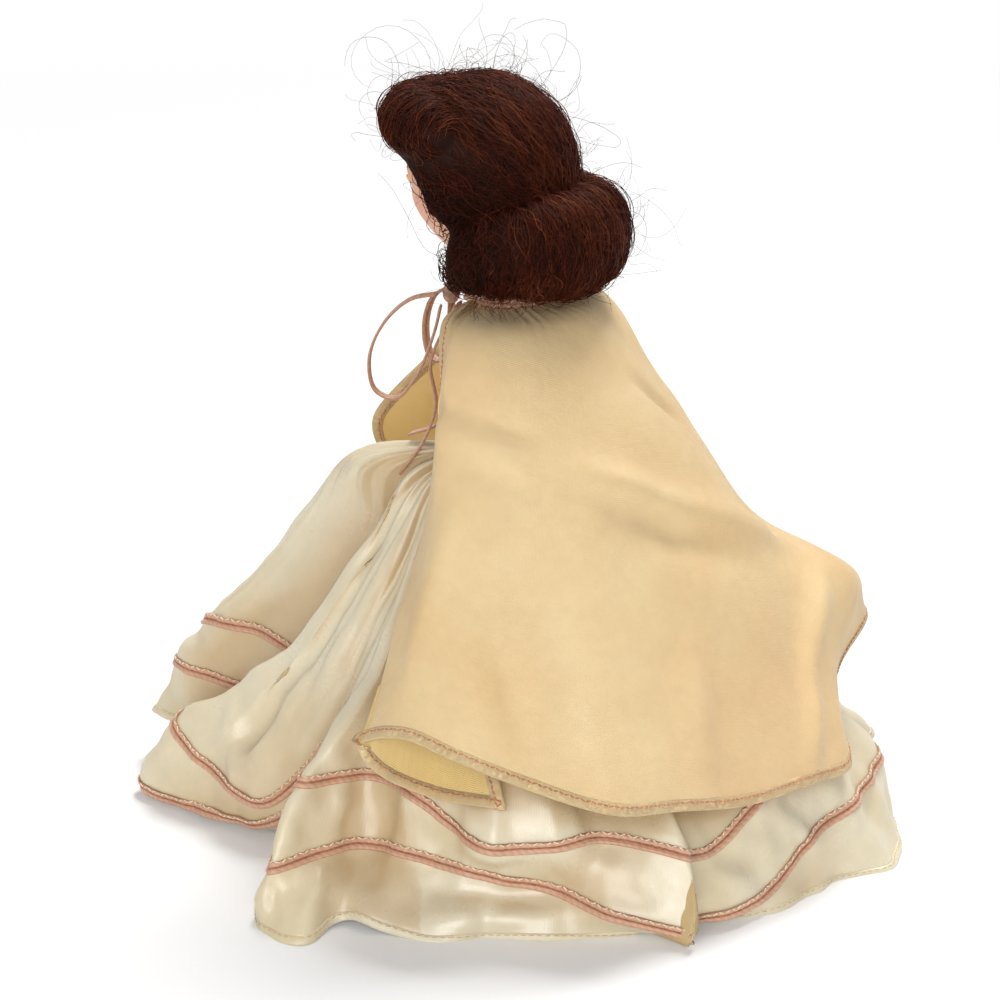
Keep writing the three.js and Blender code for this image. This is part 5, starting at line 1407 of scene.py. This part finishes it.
def nearestOn(tree, p):
    found = [tree.find_nearest(Vector(q)) for q in (p * mm).tolist()]
    return np.array([f[0][:] for f in found]) / mm, np.array([f[1][:] for f in found])


def strandMesh(name, paths, radii, tones, sides=3):
    # paths[strand, step, 3] as thin tubes, each with its own shade
    count, steps = paths.shape[:2]
    forward = unit(np.gradient(paths, axis=1))
    helper = np.where(np.abs(forward[..., 2:]) > 0.9, (1.0, 0, 0), (0, 0, 1.0))
    side = unit(np.cross(forward, helper))
    over = np.cross(forward, side)
    angles = np.arange(sides) * 2 * math.pi / sides
    cos, sin = [wave(angles)[None, None, :, None] for wave in (np.cos, np.sin)]
    ring = side[:, :, None] * cos + over[:, :, None] * sin
    points = paths[:, :, None] + ring * radii[:, :, None, None]
    piece = meshObject(name, points, tubeFaces(steps, sides, count))
    shade = piece.data.attributes.new("tone", "FLOAT", "POINT")
    shade.data.foreach_set("value", np.repeat(tones, steps * sides).astype(np.float32))
    return piece


def combedStrands(mesh, tree, rng):
    start = seedsOn(mesh, int(hair["strands"] * 1.4), rng)
    _, size = clearOfFace(start)
    skull = np.linalg.norm((start - hair["skull"][0]) / np.array(hair["skull"][1]), axis=1)
    start = start[(size > 1.0) & (skull > 1.02)][: hair["strands"]]
    turn = np.abs((np.degrees(np.arctan2(start[:, 0], -start[:, 1] - 4)) + 180) % 360 - 180)
    # the sides of the hair lie messier, and their strands are painted darker there as shade
    messyAndShaded = softHump(turn, 84, 42) * softHump(start[:, 2], 124, 10)
    long = rng.uniform(*hair["length"], len(start)) * (1 - 0.3 * messyAndShaded)
    lift = rng.gamma(1.6, 0.28, len(start)) + messyAndShaded * rng.uniform(0, 1.6, len(start))
    wave = rng.uniform(0.1, 0.55, len(start)) + messyAndShaded * rng.uniform(0.2, 1.3, len(start))
    cycles, phase = rng.uniform(4, 13, len(start)), rng.uniform(0, 6.28, len(start))
    step = long / hair["steps"]
    drift = rng.normal(0, 0.2, len(start)) + messyAndShaded * rng.normal(0, 0.8, len(start))
    p, path = start, []
    heading = None
    for k in range(hair["steps"] + 1):
        surface, normal = nearestOn(tree, p)
        flow = flowAt(surface, rng, 0.12 + 0.12 * messyAndShaded)
        flow = flow + np.cross(normal, flow) * (drift + messyAndShaded * np.sin(0.8 * k + 40 * drift))[:, None]
        flow = unit(flow - normal * np.sum(flow * normal, axis=1, keepdims=True))
        heading = flow if heading is None else unit(heading * 0.55 + flow * 0.45)
        rise = lift * np.sin(math.pi * min(max(k / hair["steps"], 0.04), 0.96)) ** 0.5 - 0.06
        curl = np.cross(normal, heading) * (wave * np.sin(cycles * k / hair["steps"] + phase))[:, None]
        shown, _ = clearOfFace(surface + normal * rise[:, None] + curl)
        path.append(shown)
        p = surface + heading * step[:, None]
    paths = np.stack(path, axis=1)
    thick = rng.uniform(*hair["thick"], len(start)) * 0.8
    shares = np.linspace(0, 1, hair["steps"] + 1)
    radii = thick[:, None] * (0.35 + 0.65 * np.sin(math.pi * np.clip(shares, 0.02, 0.98)) ** 0.6)[None]
    clumps = np.array([noise.noise(q) for q in (start * 0.35).tolist()])
    # painted shade: strands on the sides of the hair are darker
    tones = np.clip(0.4 + 0.35 * clumps + rng.normal(0, 0.2, len(start)) - 0.4 * messyAndShaded, 0, 1)
    return start, paths, radii, tones


def looseHairs(mesh, tree, rng):
    loose = hair["loose"]
    start = seedsOn(mesh, loose["count"] * 2, rng)
    _, size = clearOfFace(start)
    start = start[(size > 1.06) & (start[:, 2] > loose["above"])][: loose["count"]]
    surface, normal = nearestOn(tree, start)
    flow = unit(flowAt(surface, rng, np.full(len(start), 0.5)))
    away = rng.uniform(0.25, 1.1, (len(start), 1))
    heading = unit(normal * away + flow * rng.uniform(0.4, 1.2, (len(start), 1)))
    long = rng.gamma(2.6, 2.7, len(start)).clip(*loose["long"])
    spin = rng.normal(0, 1, (len(start), 3))
    rate = rng.uniform(0.1, 0.5, len(start))
    looped = rng.random(len(start)) < loose["looped"]
    long[looped] = rng.uniform(*loose["loop"], looped.sum())
    rate[looped] = rng.uniform(0.2, 0.34, looped.sum())
    p, path = surface - normal * 0.2, []
    for _ in range(loose["steps"] + 1):
        path.append(p)
        heading = unit(heading + np.cross(unit(spin), heading) * rate[:, None] + rng.normal(0, 0.06, p.shape))
        p, _ = clearOfFace(p + heading * (long / loose["steps"])[:, None])
        p[:, 2] = p[:, 2].clip(*loose["between"])
    radii = rng.uniform(*loose["thick"], len(start))[:, None] * np.linspace(1, 0.6, loose["steps"] + 1)[None]
    return np.stack(path, axis=1), radii, rng.uniform(0.1, 0.7, len(start))


def hangingWisps(rng):
    roll, wisps = hair["back"], hair["wisps"]
    count, steps = wisps["count"], wisps["steps"]
    often = rng.random(count) < wisps["often"]
    turn = np.where(often, rng.normal(*wisps["usual"], count), rng.uniform(*wisps["turns"], count))
    turn = turn.clip(*wisps["turns"])
    radius = rollAt(roll, turn, "path") + rollAt(roll, turn, "thick") * rng.uniform(0.1, 0.75, count)
    top = rollAt(roll, turn, "z") - rollAt(roll, turn, "tall") * 0.7
    long = rng.uniform(*wisps["long"], count)
    swing, phase = rng.uniform(0.2, 1.4, count), rng.uniform(0, 6.28, count)
    path = []
    for share in np.linspace(0, 1, steps + 1):
        r = radius + long * 0.75 * share + 0.6 * np.sin(5 * share + phase)
        t = turn + 5.0 * swing * (np.sin(4.2 * share + phase) - np.sin(phase))
        path.append(polar(t, r, top - long * (share - 0.25 * share**2)) + (0, roll["middle"], 0))
    radii = rng.uniform(*wisps["thick"], count)[:, None] * np.linspace(1, 0.6, steps + 1)[None]
    return np.stack(path, axis=1), radii, rng.uniform(0.1, 0.6, count)


def hairFinish(name, strands):
    material, shader, start = newFinish(name)
    where = objectPlace(start)
    fine = grain(start, where, 900.0, 3.0)
    patch = spread(grain(start, where, 120.0, 3.0), 0.3, 0.7)
    dark, mid, light = tint(28, 8, 3), tint(74, 28, 12), tint(130, 68, 38)
    if strands:
        tone = start.add("ShaderNodeAttribute", dict(attribute_name="tone"), {}, output="Fac")
        share = (tone * 0.8 + patch * 0.25).maths("MINIMUM", 1.0)
        stops = [(0.0, dark), (0.5, mid), (1.0, light)]
        colour = share.add("ShaderNodeValToRGB", dict(stops=stops), {0: share})
    else:
        # painted shade: the mass under the strands is as dark as the darkest strands, for the shade deep in the hair
        colour = blended(patch * 0.5, tint(24, 8, 5), tint(42, 17, 10))
    plugIn(material.node_tree, shader, {
        "Base Color": colour, "Roughness": patch * 0.12 + 0.5, "Normal": bumped(fine, 0.00006, 0.6),
        "Specular IOR Level": 0.1,
    })
    return material


def sewnCap():
    # thin gauze on the skull, open at the face and the neck
    centre = hair["skull"][0]
    cap = ball(centre, hair["cap"], 64, 44)
    carve(cap, ball(centre, [half - 0.5 for half in hair["cap"]], 64, 44))
    for middle, half in hair["face"]:
        carve(cap, ball(middle, [value * 1.06 for value in half], 64, 40))
    onlySelect(cap)
    bpy.ops.object.mode_set(mode="EDIT")
    bpy.ops.mesh.select_all(action="SELECT")
    bpy.ops.mesh.bisect(plane_co=(0, 0, hair["capLow"] * mm), plane_no=(0, 0, 1), use_fill=True,
                        clear_inner=True)
    bpy.ops.object.mode_set(mode="OBJECT")
    smoothShade(cap, 40)
    return joinAll("wigCap", [cap])


dress(sewnCap(), "head", [capGauze], ["wig_cap"])


def dressedHair():
    rng = np.random.default_rng(hair["seed"])
    mass = hairMass()
    tree = BVHTree.FromPolygons([v.co[:] for v in mass.data.vertices],
                                [f.vertices[:] for f in mass.data.polygons])
    start, paths, radii, tones = combedStrands(mass.data, tree, rng)
    loose = looseHairs(mass.data, tree, rng)
    strandFinish = hairFinish("hairStrand", True)
    centre = np.array(hair["crown"][0])
    groups = {
        "hairFront": start[:, 1] < centre[1] - 6,
        "hairBack": (start[:, 1] >= centre[1] - 6) & (start[:, 2] < 128),
        "hairCrown": (start[:, 1] >= centre[1] - 6) & (start[:, 2] >= 128),
    }
    for name, keep in groups.items():
        for half, chosen in (("Left", keep & (start[:, 0] >= 0)), ("Right", keep & (start[:, 0] < 0))):
            piece = strandMesh(name + half, paths[chosen], radii[chosen], tones[chosen])
            dress(piece, "head", [strandFinish])
    dress(strandMesh("hairFlyaways", *loose), "head", [strandFinish])
    dress(strandMesh("hairWisps", *hangingWisps(rng)), "head", [strandFinish])
    carve(mass, ball(*hair["skull"], 48, 32))
    for opening in hair["face"]:
        carve(mass, ball(*opening, 48, 32))
    smoothShade(mass)
    dress(mass, "head", [hairFinish("hairMass", False)], ["wig_hair"])
    print("hair:", len(start), "strands,", len(loose[0]), "loose hairs")


dressedHair()


# stage: pale floor, white surroundings, soft lamps
stage = dict(floor=40.0, paint=(0.93, 0.93, 0.93, 1), near=0.16, far=0.8, veil=0.15,
             key=(12.0, 0.4, (-0.45, 0.0, 1.1)), fill=(7.8, 0.8, (1.04, 0.38, 0.38)), sky=0.34)


def whiteToCamera(start):
    path = start.add("ShaderNodeLightPath").socket.node
    camera, glossy, through = [
        Wire(start.tree, path.outputs[name]) for name in ("Is Camera Ray", "Is Glossy Ray", "Is Transmission Ray")
    ]
    return (camera + glossy + through).maths("MINIMUM", 1.0)


def makeStage():
    scene = bpy.context.scene
    bpy.ops.object.select_all(action="DESELECT")
    bpy.ops.mesh.primitive_plane_add(size=stage["floor"], location=(0, 0, 0))
    floor = bpy.context.active_object
    floor.name = "floor"
    material, shader, start = newFinish("paleFloor")
    plugIn(material.node_tree, shader, {
        "Base Color": stage["paint"], "Roughness": 0.9, "Specular IOR Level": 0.1,
    })
    white = start.add("ShaderNodeEmission", {}, {"Color": (1, 1, 1, 1), "Strength": 1.0})
    lit = Wire(material.node_tree, shader.outputs[0])
    away = start.add("ShaderNodeVectorMath", dict(operation="LENGTH"), {0: objectPlace(start)}, output="Value")
    veil = spread(away, stage["near"], stage["far"]) * (1 - stage["veil"]) + stage["veil"]
    mix = start.add("ShaderNodeMixShader", {}, {0: whiteToCamera(start) * veil, 1: lit, 2: white})
    output = material.node_tree.nodes["Material Output"]
    material.node_tree.links.new(mix.socket, output.inputs["Surface"])
    floor.data.materials.append(material)
    world = bpy.data.worlds.new("studio")
    scene.world = world
    world.use_nodes = True
    begin = Wire(world.node_tree)
    light = begin.add("ShaderNodeBackground", {}, {"Color": (1, 1, 1, 1), "Strength": stage["sky"]})
    shown = begin.add("ShaderNodeBackground", {}, {"Color": (1, 1, 1, 1), "Strength": 1.0})
    both = begin.add("ShaderNodeMixShader", {}, {0: whiteToCamera(begin), 1: light, 2: shown})
    world.node_tree.links.new(both.socket, world.node_tree.nodes["World Output"].inputs["Surface"])
    for name in ("key", "fill"):
        power, size, place = stage[name]
        data = bpy.data.lights.new(name, "AREA")
        data.energy = power
        data.size = size
        lamp = bpy.data.objects.new(name, data)
        lamp.location = place
        lamp.rotation_euler = (Vector((0, 0, 0.07)) - lamp.location).to_track_quat("-Z", "Y").to_euler()
        scene.collection.objects.link(lamp)


makeStage()
print("stage: floor, sky and lamps")
